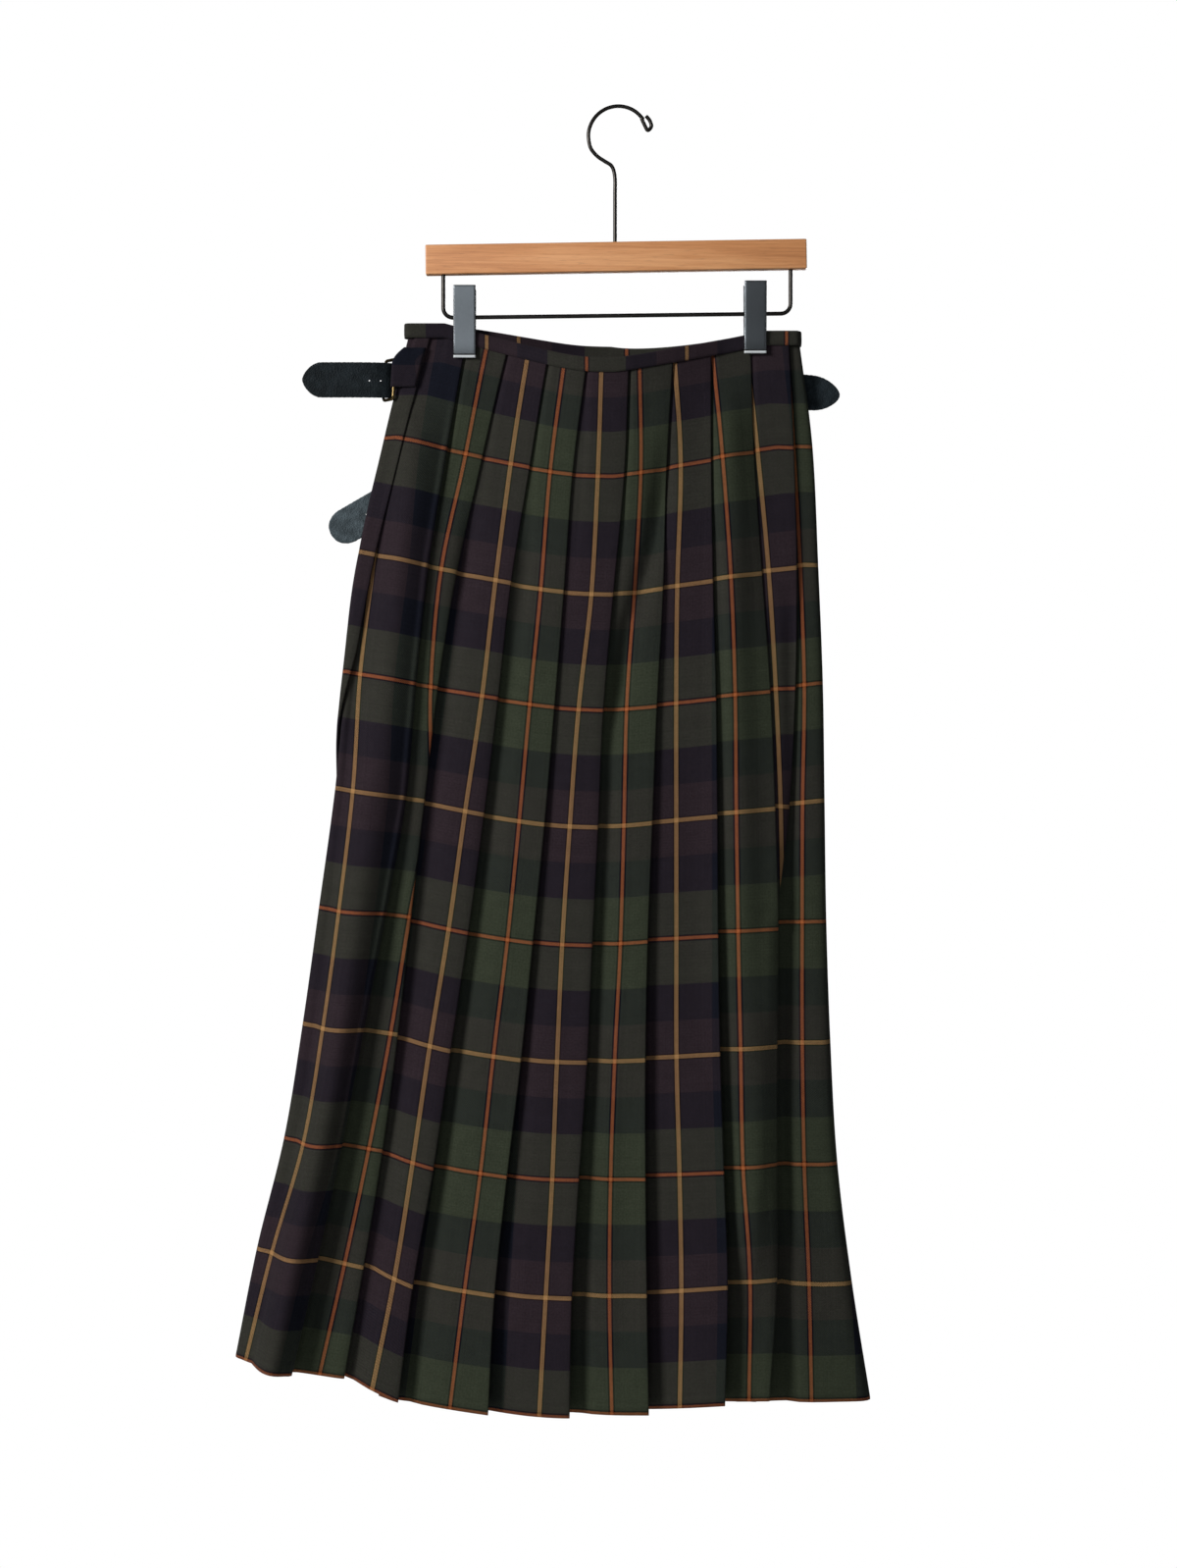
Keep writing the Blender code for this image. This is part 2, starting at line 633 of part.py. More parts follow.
def waist_strap(finish):
    """From the over-apron's free edge, up through the buckle between its bars, its tip out to the left."""
    root = [on_over_apron(x, BUCKLE_Z, STRAP_REST) for x in (-118.0, -132.0, -146.0, -160.0, -172.0)]
    free = [(-181.5, 11.8), (-188.0, 10.3), (-194.0, 5.9), (-199.0, 1.7), (-204.5, -0.1), (-212.0, -1.4),
            (-232.0, -2.4)]
    route = root + [Vector((x, y, BUCKLE_Z)) for x, y in free] + [Vector((-273.3, -2.0, BUCKLE_Z))]
    return flat_strap("waist_strap", with_tip(route, 17.0), Vector((0.0, 0.0, 1.0)), 17.0, finish)


def hip_strap(finish):
    """Sewn on behind the over-apron's free edge; it hangs out past the left edge, tip down."""
    run = Vector((HIP_TIP[0] - HIP_ROOT[0], 0.0, HIP_TIP[1] - HIP_ROOT[1]))
    over = Vector((0.0, 1.0, 0.0)).cross(run).normalized() * STRAP_WIDTH / 2
    corners = []
    for share in (0.0, 0.3):
        x = HIP_ROOT[0] + run.x * share
        z = HIP_ROOT[1] + run.z * share
        corners.append([on_over_apron(x + side * over.x, z + side * over.z, STRAP_REST) for side in (-1, 1)])
    across = (corners[0][1] - corners[0][0]).normalized()
    root, edge = [(pair[0] + pair[1]) / 2 for pair in corners]
    root.y = edge.y = max(root.y, edge.y)
    tip = Vector((HIP_TIP[0], edge.y - 2.0, HIP_TIP[1]))
    return flat_strap("hip_strap", with_tip([root, edge, edge.lerp(tip, 0.3), tip], 17.0), across, 17.0,
                      finish)


def right_strap(finish):
    """Sewn on the over-apron near the right edge; its curved tip stands out past that edge."""
    root = [on_over_apron(x, -243.0, STRAP_REST) for x in (104.0, 118.0, 132.0, 146.0)]
    route = root + [Vector((160.0, root[-1].y - 0.3, -244.5)), Vector((192.9, root[-1].y - 3.0, -248.0))]
    return flat_strap("right_strap", with_tip(route, 21.0), Vector((0.06, 0.0, 1.0)).normalized(), 21.0,
                      finish)


def buckle_frame(finish):
    """A closed frame of round wire; its inner bar lies in the fold of the tab."""
    across = Vector((OUTER_BAR[0] - INNER_BAR[0], OUTER_BAR[1] - INNER_BAR[1], 0.0))
    centre = Vector((INNER_BAR[0], INNER_BAR[1], BUCKLE_Z)) + across / 2
    half_wide = across.length / 2 - BUCKLE_CORNER
    half_tall = BUCKLE_HEIGHT / 2 - BUCKLE_CORNER
    across.normalize()
    loop = []
    for corner, (wide, tall) in enumerate(((1, 1), (-1, 1), (-1, -1), (1, -1))):
        for step in range(4):
            angle = math.pi / 2 * (corner + step / 3)
            sideways = wide * half_wide + BUCKLE_CORNER * math.cos(angle)
            up = tall * half_tall + BUCKLE_CORNER * math.sin(angle)
            loop.append(centre + across * sideways + Vector((BUCKLE_LEAN * up, 0.0, up)))
    return wire("buckle_frame", loop, BUCKLE_WIRE, finish, closed=True)


def buckle_tab(finish):
    """A doubled strip of the tartan on the first pleat, folded round the buckle's inner bar."""
    paths = []
    for z in TAB_HEIGHTS:
        row = Section(place_for(z, TAB_ROOT_X, False))
        fold_x = INNER_BAR[0] + BUCKLE_LEAN * (z - BUCKLE_Z)
        path = []
        cloth = pleat_path(row)
        for back_from_fold in (0.8, 5.0, 10.0, 14.0):
            along = row.edge["z"] - back_from_fold
            path.append(row.point(along, rest_height(cloth, along, 2.0) + WALL + 0.4))
        front = [place - Vector((0.0, WALL + TAB_LAYER_GAP, 0.0)) for place in reversed(path[:4])]
        for angle in (90.0, 135.0, 180.0, 225.0, 270.0):
            turn = math.radians(angle)
            path.append(Vector((fold_x + TAB_FOLD_RADIUS * math.cos(turn),
                                INNER_BAR[1] + TAB_FOLD_RADIUS * math.sin(turn), z)))
        for place in path[:4] + front:
            place.z = z
        paths.append(path + front)
    tab = cloth_wall("buckle_tab", paths, finish)
    count = len(TAB_CUT)
    points = [(x, y, z) for y in (-20.0, 10.0) for x, z in TAB_CUT]
    faces = [tuple(range(count)), tuple(range(2 * count - 1, count - 1, -1))]
    faces += [(k, (k + 1) % count, count + (k + 1) % count, count + k) for k in range(count)]
    corner = mesh_object("tab_corner_cut", points, faces, finish)
    combine(tab, corner, "DIFFERENCE")
    return tab


# ---------------------------------------------------------------- the hanger

BAR_CENTRE = (-1.6, 0.0, -129.6)
BAR_SIZE = (329.8, 12.0, 25.5)
BAR_TILT = -math.radians(0.9)
HOOK_WIRE = 1.65
RAIL_WIRE = 1.8
STEM_X = -2.5
STEM_DEPTH = 11.0
HOOK_CENTRE = (0.4, -24.4)
HOOK_RADIUS = 25.9
HOOK_NECK = ((-2.5, -76.5), (-2.6, -60.0), (-5.2, -50.7), (-11.5, -46.2), (-17.9, -41.8), (-23.6, -34.7))
HOOK_END = ((20.6, -9.2), (23.4, -15.4), (25.9, -19.4), (29.0, -16.0), (27.6, -11.0), (24.4, -7.0))
RAIL_LEFT = (-151.3, -181.7)
RAIL_RIGHT = (149.6, -178.2)
RAIL_CORNER = 8.5
CLIP_WIDTH = 19.3
CLIP_HEIGHT = 62.2
CLIP_PLATE = 1.2
CLIP_EAR = 1.2
# Each clip's middle, its top, and the inner faces of its front and back jaws at the band.
CLIPS = (("left", -132.5, -155.4, -7.9, 9.8), ("right", 118.6, -151.8, -9.1, 9.8))


def bar_edge(x, side):
    """Height of the tilted bar's top (side 1) or bottom (side -1) at x."""
    return BAR_CENTRE[2] - math.tan(BAR_TILT) * (x - BAR_CENTRE[0]) + side * BAR_SIZE[2] / 2


def hanger(wood, black):
    """The wooden bar with the hook in its top and the clip rail in its underside."""
    bar = block("hanger_bar", BAR_CENTRE, BAR_SIZE, 1.6, wood, BAR_TILT)
    stem_foot = bar_edge(STEM_X, 1) - STEM_DEPTH
    deep = 2 * STEM_DEPTH + 1.0
    bore(bar, "bore_hook", (STEM_X, 0.0, bar_edge(STEM_X, 1)), HOOK_WIRE + SEAM_GAP, deep, "Z")
    route = [(STEM_X, 0.0, stem_foot), (STEM_X, 0.0, (stem_foot - 76.5) / 2)]
    route += [(x, 0.0, z) for x, z in HOOK_NECK]
    for degrees in range(180, 30, -18):
        angle = math.radians(degrees)
        route.append((HOOK_CENTRE[0] + HOOK_RADIUS * math.cos(angle), 0.0,
                      HOOK_CENTRE[1] + HOOK_RADIUS * math.sin(angle)))
    route += [(x, 0.0, z) for x, z in HOOK_END]
    wire("hanger_hook", smooth_route(route, 2), HOOK_WIRE, black)

    left_x, left_z = RAIL_LEFT
    right_x, right_z = RAIL_RIGHT
    top_left = bar_edge(left_x, -1) + STEM_DEPTH
    top_right = bar_edge(right_x, -1) + STEM_DEPTH
    bore(bar, "bore_rail_left", (left_x, 0.0, bar_edge(left_x, -1)), RAIL_WIRE + SEAM_GAP, deep, "Z")
    bore(bar, "bore_rail_right", (right_x, 0.0, bar_edge(right_x, -1)), RAIL_WIRE + SEAM_GAP, deep, "Z")
    rail = [(left_x, 0.0, top_left)]
    for degrees in (180, 202.5, 225, 247.5, 270):
        angle = math.radians(degrees)
        rail.append((left_x + RAIL_CORNER + RAIL_CORNER * math.cos(angle), 0.0,
                     left_z + RAIL_CORNER + RAIL_CORNER * math.sin(angle)))
    for degrees in (270, 292.5, 315, 337.5, 360):
        angle = math.radians(degrees)
        rail.append((right_x - RAIL_CORNER + RAIL_CORNER * math.cos(angle), 0.0,
                     right_z + RAIL_CORNER + RAIL_CORNER * math.sin(angle)))
    rail.append((right_x, 0.0, top_right))
    wire("clip_rail", rail, RAIL_WIRE, black)


def clip_half(name, x, top, jaw, side, metal):
    """One jaw of a clip: a flat plate with a thick lip, and two ears with holes that ride on the rail."""
    along_rail = (x - RAIL_LEFT[0]) / (RAIL_RIGHT[0] - RAIL_LEFT[0])
    rail_z = RAIL_LEFT[1] + (RAIL_RIGHT[1] - RAIL_LEFT[1]) * along_rail
    low = top - CLIP_HEIGHT
    open_out = 3.6
    width = CLIP_WIDTH if side < 0 else CLIP_WIDTH - 1.0
    profile = ((jaw, low), (jaw, low + 14.0),
               (jaw + side * open_out, top - 3.0), (jaw + side * open_out, top),
               (jaw + side * (open_out + CLIP_PLATE), top),
               (jaw + side * (open_out + CLIP_PLATE), top - 3.0),
               (jaw + side * CLIP_PLATE, low + 14.0), (jaw + side * CLIP_PLATE, low + 2.6),
               (jaw + side * (CLIP_PLATE + 0.8), low + 2.0), (jaw + side * (CLIP_PLATE + 0.8), low + 0.4),
               (jaw + side * CLIP_PLATE, low))
    count = len(profile)
    points = [(x + half * width / 2, y, z) for half in (-1, 1) for y, z in profile]
    faces = [tuple(range(count)), tuple(range(2 * count - 1, count - 1, -1))]
    faces += [(k, (k + 1) % count, count + (k + 1) % count, count + k) for k in range(count)]
    plate = mesh_object(name, points, faces, metal, 30.0)
    inset = CLIP_EAR / 2 + 0.2 if side < 0 else CLIP_EAR * 1.5 + 0.6
    reach = -side * 3.4
    root = jaw + side * 2.65
    for half in (-1, 1):
        centre = (x + half * (CLIP_WIDTH / 2 - inset), (reach + root) / 2, rail_z + 4.4)
        ear = block(f"{name}_ear_{half + 1}", centre, (CLIP_EAR, abs(reach - root), 15.0), 0.0, metal)
        combine(plate, ear, "UNION")
    bore(plate, f"{name}_hole", (x, 0.0, rail_z), RAIL_WIRE + SEAM_GAP, CLIP_WIDTH + 2.0, "X")


# ---------------------------------------------------------------- the whole object

for old in list(bpy.data.objects):
    bpy.data.objects.remove(old)

tartan = material("tartan_cloth", (0.045, 0.052, 0.045), 0.9)
tartan_band = material("tartan_band", (0.055, 0.045, 0.050), 0.9)
leather = material("black_leather", (0.020, 0.026, 0.028), 0.7)
brass = material("pale_brass", (0.62, 0.50, 0.30), 0.3, 1.0)
beech = material("hanger_wood", (0.52, 0.29, 0.15), 0.5)
black_wire = material("black_wire", (0.05, 0.05, 0.05), 0.3, 1.0)
clip_metal = material("clip_metal", (0.10, 0.11, 0.12), 0.3, 1.0)

cloth_rows = all_sections(BAND_TUCK)
cloth_wall("pleated_back", [[row.point(along, out) for along, out in pleat_path(row)] for row in cloth_rows],
           tartan)
cloth_wall("under_apron", [flat_path(row, under_apron_stops(row)) for row in cloth_rows], tartan)
cloth_wall("over_apron", [flat_path(row, over_apron_stops(row)) for row in cloth_rows], tartan)
waistband(tartan_band)
buckle_tab(tartan_band)
buckle_frame(brass)
waist_strap(leather)
hip_strap(leather)
right_strap(leather)
hanger(beech, black_wire)
for clip_side, clip_x, clip_top, front_jaw, back_jaw in CLIPS:
    clip_half(f"clip_{clip_side}_front", clip_x, clip_top, front_jaw, -1, clip_metal)
    clip_half(f"clip_{clip_side}_back", clip_x, clip_top, back_jaw, 1, clip_metal)
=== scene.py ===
import bisect
import math

import bmesh
import bpy
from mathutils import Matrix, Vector


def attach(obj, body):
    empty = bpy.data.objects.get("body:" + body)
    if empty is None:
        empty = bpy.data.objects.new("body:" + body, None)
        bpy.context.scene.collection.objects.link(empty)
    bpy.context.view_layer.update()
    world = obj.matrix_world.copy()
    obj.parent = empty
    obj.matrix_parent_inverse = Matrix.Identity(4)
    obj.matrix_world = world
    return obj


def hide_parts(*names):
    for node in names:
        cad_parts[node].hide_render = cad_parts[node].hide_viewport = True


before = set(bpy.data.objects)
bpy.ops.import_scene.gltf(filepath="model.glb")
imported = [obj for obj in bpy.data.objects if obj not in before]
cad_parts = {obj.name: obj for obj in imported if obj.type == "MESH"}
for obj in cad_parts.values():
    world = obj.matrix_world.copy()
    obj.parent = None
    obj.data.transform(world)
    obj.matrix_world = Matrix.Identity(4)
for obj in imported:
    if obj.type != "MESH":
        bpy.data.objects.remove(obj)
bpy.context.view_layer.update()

bpy.ops.object.select_all(action="DESELECT")


# ---------------------------------------------------------------- studio
# A bright white studio: the hanger is held in mid-air, a pale floor lies well below the hem, and one large
# soft light stands to the left.  The camera looks straight at the middle of the pleated back.

MM = 0.001
VIEW_CENTRE = Vector((-25.5, 0.0, -585.65)) * MM
VIEW_DISTANCE = 2.5
VIEW_HEIGHT = 1.3583          # what the frame takes in at the hanger's distance
FLOOR_DROP = 1.9
FLOOR_RADIUS = 2.1

# One row for each light: its name, its place, what it points at, its size, its power and its colour.
LIGHTS = (
    ("key_light", (-2.5, -2.05, 0.55), (0.0, 0.0, -0.6), 1.0, 116.0, (1.0, 0.985, 0.96)),
    ("fill_light", (2.4, -2.6, -0.2), (0.0, 0.0, -0.6), 2.0, 7.0, (0.96, 0.98, 1.0)),
    ("side_panel", (-0.5, -2.62, 0.15), (-0.13, 0.0, -0.18), 1.2, 7.5, (0.94, 0.98, 1.0)),
    ("back_light", (0.5, 3.2, 0.3), (0.0, 0.0, -0.6), 1.4, 40.0, (1.0, 1.0, 1.0)),
)

camera_data = bpy.data.cameras.new("studio_camera")
camera_data.sensor_width = 36.0
camera_data.lens = camera_data.sensor_width * VIEW_DISTANCE / VIEW_HEIGHT
camera_data.clip_end = 50.0
camera = bpy.data.objects.new("studio_camera", camera_data)
camera.location = VIEW_CENTRE - Vector((0.0, VIEW_DISTANCE, 0.0))
camera.rotation_euler = (math.pi / 2, 0.0, 0.0)
bpy.context.collection.objects.link(camera)
bpy.context.scene.camera = camera


def finish_colour(red, green, blue):
    """A colour as seen on a screen, 0 to 255, turned into light."""
    tones = [value / 255.0 for value in (red, green, blue)]
    return (*(t / 12.92 if t <= 0.04045 else ((t + 0.055) / 1.055) ** 2.4 for t in tones), 1.0)


def set_node(node, **wanted):
    """Set up a shader node.

    A small name is one of its settings.  A name with a capital is one of its sockets, which takes a value
    or the output of another node.
    """
    for name, value in wanted.items():
        if name[0].islower():
            setattr(node, name, value)
        elif isinstance(value, bpy.types.NodeSocket):
            node.id_data.links.new(value, node.inputs[name.replace("_", " ")])
        else:
            node.inputs[name.replace("_", " ")].default_value = value
    return node


def new_node(tree, kind, **wanted):
    return set_node(tree.nodes.new("ShaderNode" + kind), **wanted)


def plain_material(name, colour, roughness, metallic=0.0):
    """A Principled material and its shader, for a section to add its own grain or weave to."""
    made = bpy.data.materials.new(name)
    made.use_nodes = True
    return made, set_node(made.node_tree.nodes["Principled BSDF"], Base_Color=colour, Roughness=roughness,
                          Metallic=metallic)


for lamp_name, place, aim, size, power, colour in LIGHTS:
    light = bpy.data.lights.new(lamp_name, "AREA")
    light.size = size
    light.energy = power
    light.color = colour
    lamp = bpy.data.objects.new(lamp_name, light)
    lamp.visible_camera = False
    lamp.location = place
    lamp.rotation_euler = (Vector(aim) - Vector(place)).to_track_quat("-Z", "Y").to_euler()
    bpy.context.collection.objects.link(lamp)

world = bpy.data.worlds.new("white_studio")
bpy.context.scene.world = world
world.use_nodes = True
sky = world.node_tree
sky.nodes.clear()
seen_white = new_node(sky, "Background", Color=(1.0, 1.0, 1.0, 1.0))
room_white = new_node(sky, "Background", Color=(0.97, 0.985, 1.0, 1.0), Strength=0.07)
choice = new_node(sky, "MixShader", Fac=new_node(sky, "LightPath").outputs["Is Camera Ray"])
sky.links.new(room_white.outputs["Background"], choice.inputs[1])
sky.links.new(seen_white.outputs["Background"], choice.inputs[2])
new_node(sky, "OutputWorld", Surface=choice.outputs["Shader"])
bpy.context.scene.view_settings.view_transform = "Standard"

bpy.ops.mesh.primitive_circle_add(vertices=128, radius=FLOOR_RADIUS, fill_type="NGON",
                                  location=(0.0, 0.0, -FLOOR_DROP))
floor = bpy.context.object
floor.name = "studio_floor"
floor.data.materials.append(plain_material("pale_floor", finish_colour(240, 240, 238), 0.85)[0])


# ---------------------------------------------------------------- pleated back
# Woollen twill in a tartan check, cut as one long rectangle and pressed into knife pleats, one stripe of
# the check to each.  The pleats are deepest at the waist, so the skirt widens to the hem.  It is joined to
# the under-apron round the left edge and to the over-apron round the right one.

CLOTH = 0.9                # thickness
LAYER = 1.35               # from one layer of folded cloth to the next
FOLD_RADIUS = LAYER / 2
FOLD_SPACE = 4.5           # least from one inner fold to the pleat before
TUCK_STEP = 7.0            # from the last pleat's inner fold to the one before
HALF_SETT = 100.5          # from one stripe of the check to the next
THREADS = 288.0            # in one half of the check's repeat
BAND_TUCK = 11.0           # how far the cloth goes up into the band
Z_FACE = 45.0              # the first pleat's cloth, from the seam to its fold
Z_FOLD_DEPTH = 11.0        # from its outer fold to its inner one
Z_LIFT = 3.6               # how far its fold stands off the cloth behind it
Z_LEVEL_RUN = 12.0         # how much of it lies flat beside the seam
Z_STRIPE = 0.95            # the place in the check where the first pleat folds
OVER_LAP = 2.1             # how much wider the right edge turns than the left, at the waist
OVER_EASE = 1.4            # and how much more further down
EDGE_SQUARE = 3.4          # 2 would turn the edges round, and more turns them squarer
APRON_SEAM = 30.0          # from the right turn's end to the over-apron's seam
BESIDE = 1.4               # how far to each side one layer keeps clear of another
UNDER_FREE = 7.0           # how far inside the right and the left turn the aprons' free edges lie
OVER_FREE = 13.0
HANG_MID = -6.0            # where the cloth hangs lowest between the clips
CLIP_HALF = 114.0          # half the width that swells, at the waist
LEFT_BEND = -150.0         # where a weft thread stops rising to the left and to the right, at the waist
RIGHT_BEND = 128.0
LEVEL_SHARES = (0.20, 0.05)  # how much of it stays nearly level, left and right of the middle
SPREAD_DROP = 300.0        # how far down the swell and the right bend have spread to the edges
LEFT_DROP = 130.0          # how far down the left bend has
FULL_DROP = 160.0          # how far down the faces are fully rounded
FAR_HIGHER = 15.0          # how much higher the middle is behind, at the waist
FAR_SETTLES = 6.5          # and how much of that is lost further down
CREASE_FADE = 80.0         # length over which a crease dies out at its ends
WAVE = (4.0, 27.0, 0.12)   # the aprons' soft wave: its height at the hem, its length, and its slant
HEM_TURN = 0.012
ROWS_BETWEEN = 13

# One row for each level down the skirt.  drop: along the cloth below the band.  left, right: the side
# edges.  z_left, z_mid, z_right: height of the level there.  turn: radius of the left edge.  near, far: how
# far the back and the aprons swell out.  lift: how far a fold stands off the cloth behind it.  cling: how
# much of the hidden part lies flat.  tuck_lift: how far the narrow last pleat's fold stands off.
LEVEL_COLUMNS = ("drop", "left", "right", "z_left", "z_mid", "z_right", "turn", "near", "far",
                 "lift", "cling", "tuck_lift")
LEVELS = (
    (0.0, -181.0, 157.5, -200.0, -232.0, -206.5, 2.6, 16.0, 14.0, 3.6, 0.95, 3.6),
    (92.5, -201.5, 168.5, -286.5, -321.0, -294.5, 4.0, 13.0, 10.0, 4.2, 0.90, 4.2),
    (193.0, -223.0, 173.5, -385.0, -422.5, -397.0, 5.5, 10.0, 7.0, 5.4, 0.80, 4.8),
    (293.5, -235.0, 177.5, -488.5, -522.0, -498.5, 7.0, 8.5, 5.5, 7.6, 0.70, 5.6),
    (394.0, -244.5, 179.0, -589.0, -622.5, -600.0, 8.0, 8.0, 5.0, 10.0, 0.62, 6.4),
    (494.5, -258.5, 180.5, -692.0, -723.5, -704.0, 9.5, 8.0, 5.0, 12.4, 0.55, 8.0),
    (595.0, -272.5, 184.0, -792.5, -823.5, -808.0, 11.0, 8.0, 5.0, 14.8, 0.48, 8.5),
    (695.5, -288.5, 190.0, -891.0, -923.5, -913.0, 12.5, 8.0, 5.0, 17.2, 0.42, 9.0),
    (796.0, -312.0, 202.5, -986.5, -1022.5, -1016.0, 14.5, 8.0, 5.0, 19.6, 0.36, 9.0),
    (896.5, -330.5, 218.5, -1080.0, -1120.5, -1117.0, 16.0, 8.0, 5.0, 22.0, 0.30, 9.0),
)

# One row for each pleat, left to right: its share of the lift, how much its face rounds out, how far a weft
# thread steps up from its fold to the next face at the hem, and where its outer fold lies at each level.
FOLDS = (
    ("z", 0.50, 0.00, 0.0, (-163, -185.5, -210, -230, -255.5, -274.5, -291, -309.5, -337, -358)),
    ("a", 0.85, 1.10, -0.8, (-132, -147.5, -163.5, -174, -182.5, -199.5, -218, -236.5, -257, -279)),
    ("b", 0.68, 0.12, -1.2, (-97, -117.5, -139.5, -155.5, -167, -178.5, -189.5, -202.5, -218.5, -235)),
    ("c", 0.85, 0.25, -1.4, (-62, -76.5, -92.5, -103.5, -115.5, -129, -144, -158.5, -176, -188.5)),
    ("d", 0.90, 0.12, -0.4, (-28.5, -39.5, -47, -55, -63.5, -73.5, -83.5, -95.5, -106, -111.5)),
    ("e", 1.00, 0.12, 1.9, (8.5, 5, -4.5, -13, -17.5, -22.5, -27, -34, -40, -42)),
    ("f", 1.00, 0.12, 2.4, (46.5, 41.5, 38.5, 33, 29, 25, 23, 23, 24, 25.5)),
    ("g", 1.05, 0.12, 3.6, (80, 80, 81.5, 84, 85, 85.5, 87, 90, 93, 90.5)),
    ("h", 0.64, 0.12, 4.0, (114.5, 117, 124, 131, 135, 137.5, 136.5, 136, 136, 129)),
    ("i", 1.00, 0.00, 4.0, (147.5, 151.5, 154, 153, 147.5, 135.5, 130, 126, 123, 118)),
)
PLEATS = [fold[0] for fold in FOLDS]
FACES = PLEATS + ["j"]     # the pleats' faces, and what lies past the last fold

# Where each pleat's own stripe of the check lies at each level.
STRIPES = {
    "a": (-187, -201, -210.5, -222.5, -228, -239.5, -253, -269.5, -297.5, -320.5),
    "b": (-114, -131.5, -152.5, -161.5, -162.5, -179.5, -195.5, -214, -234.5, -256),
    "c": (-78.5, -92.5, -105.5, -117, -131.5, -145.5, -161.5, -176, -191.5, -210.5),
    "d": (-47, -58.5, -66.5, -76, -85, -95, -107, -118, -131.5, -144),
    "e": (-14.5, -17.5, -23, -34, -41.5, -48, -52.5, -56.5, -62, -67.5),
    "f": (18.5, 19.5, 14, 7.5, 5, 2, -3, -6.5, -7.5, -5.5),
    "g": (49, 54, 51, 50, 50, 50, 50, 52.5, 54, 52.5),
    "h": (82, 90, 97, 100.5, 101.5, 103, 105, 107, 113, 112),
    "i": (111, 120.5, 130, 136, 140, 141, 140.5, 140.5, 140, 139.5),
    "j": (146, 152, 157.5, 161, 159.5, 159, 159, 160.5, 164.5, 166.5),
}

# How far the weft hangs below its smooth line beside each fold: at the end of the face before it and at
# the start of the face after it, for each level from the fifth to the hem.
WEFT_HANG = {
    "a": ((-2.0, -4.0, -4.0, -3.5, -2.5, 2.5), (-2.0, -4.0, -4.0, -4.0, -3.0, 1.3)),
    "b": ((-2.0, -4.0, -3.3, -2.5, 0.0, 0.0), (-1.0, -1.5, -1.5, -1.7, -3.4, -2.6)),
    "c": ((1.0, 2.0, 4.0, 6.0, 9.4, 12.0), (1.0, 1.7, 2.5, 3.4, 6.0, 11.5)),
    "d": ((1.0, 2.0, 2.7, 3.4, 6.0, 9.8), (0.6, 1.2, 2.0, 3.0, 4.7, 8.5)),
    "e": ((0.0, 0.0, 0.0, 0.0, 1.3, 4.7), (0.0, 0.0, 0.4, 0.8, 1.7, 5.1)),
    "f": ((-1.0, -1.5, -1.0, 0.0, -0.8, 1.7), (0.0, -1.0, 0.0, 0.0, 0.8, 2.1)),
    "g": ((0.0, 0.0, -1.0, -2.5, -6.0, -5.5), (0.0, -1.0, -1.5, -2.1, -4.7, -2.3)),
    "h": ((0.0, 0.0, -2.5, -5.7, -9.4, -6.8), (0.0, -2.5, -2.0, -1.2, -1.7, 0.0)),
    "i": ((0.0, 0.0, 0.0, 0.0, 0.0, 0.0), (0.0, 0.0, 0.0, 0.0, 0.0, 0.0)),
}

# Soft creases: half-widths to the left and right, height (a trough is less than 0), and where each
# lies, as drop and x.
NEAR_CREASES = (
    (15.0, 22.0, 11.5, ((36, -171), (133, -181), (259, -194), (341, -203), (465, -221.5), (549, -231),
                        (635, -243), (896, -302), (1000, -325))),
    (8.0, 9.0, -9.0, ((45, 45), (148, 32), (225, 9), (345, -9))),
    (14.0, 16.0, 10.0, ((0, 92), (130, 98), (260, 100), (420, 105), (640, 110), (820, 113))),
    (7.0, 5.0, -9.0, ((180, 151), (330, 152), (420, 150), (560, 147), (700, 144), (896, 142), (1000, 141))),
    (4.0, 9.0, -3.0, ((110, -184), (193, -205.5), (293, -225), (360, -236), (430, -244))),
    (3.0, 14.0, 2.6, ((330, -224), (394, -227.5), (494, -239), (595, -252.5), (695, -269), (796, -297),
                      (896, -320), (1000, -343))),
    (2.6, 2.4, 2.2, ((20, -137), (92, -149), (193, -165), (293, -175.5), (394, -184), (494, -201),
                     (595, -219.5), (695, -238), (796, -258.5), (896, -280.5), (1000, -302))),
    (7.0, 9.0, -6.0, ((110, -122), (293, -147), (394, -158.5), (595, -181), (796, -210), (896, -227),
                      (1000, -242))),
    (7.0, 9.0, -4.5, ((110, -71), (293, -95.5), (494, -121), (695, -150.5), (896, -180.5), (1000, -190))),
    (7.0, 8.0, -3.6, ((280, -4), (494, -14.5), (695, -26), (896, -34), (1000, -36))),
    (9.0, 9.0, 2.0, ((30, -120), (250, -151))),
    (14.0, 12.0, -2.2, ((300, 62), (650, 70))),
    (16.0, 14.0, 2.6, ((500, -58), (870, -92))),
    (13.0, 13.0, -2.4, ((560, 10), (885, 6))),
    (15.0, 12.0, -2.2, ((480, 172), (870, 190))),
)
FAR_CREASES = (
    (18.0, 14.0, 3.6, ((80, -62), (300, -88), (540, -128))),
    (20.0, 16.0, -4.0, ((140, 38), (450, 52), (740, 80))),
    (12.0, 15.0, 3.0, ((30, 122), (180, 96), (350, 56))),
    (22.0, 17.0, 4.2, ((430, -150), (700, -136), (1000, -112))),
    (24.0, 19.0, -3.8, ((500, 4), (1000, -14))),
    (18.0, 22.0, 3.4, ((470, 150), (1000, 182))),
    (14.0, 11.0, -2.8, ((50, -22), (310, -4))),
)


def in_table(table, place):
    """A value between the rows of a table of (place, value), level beyond its ends."""
    k = bisect.bisect_right(table, (place, math.inf))
    if k == 0 or k == len(table):
        return table[min(k, len(table) - 1)][1]
    (start, low), (stop, high) = table[k - 1:k + 1]
    return low + (high - low) * (place - start) / (stop - start)


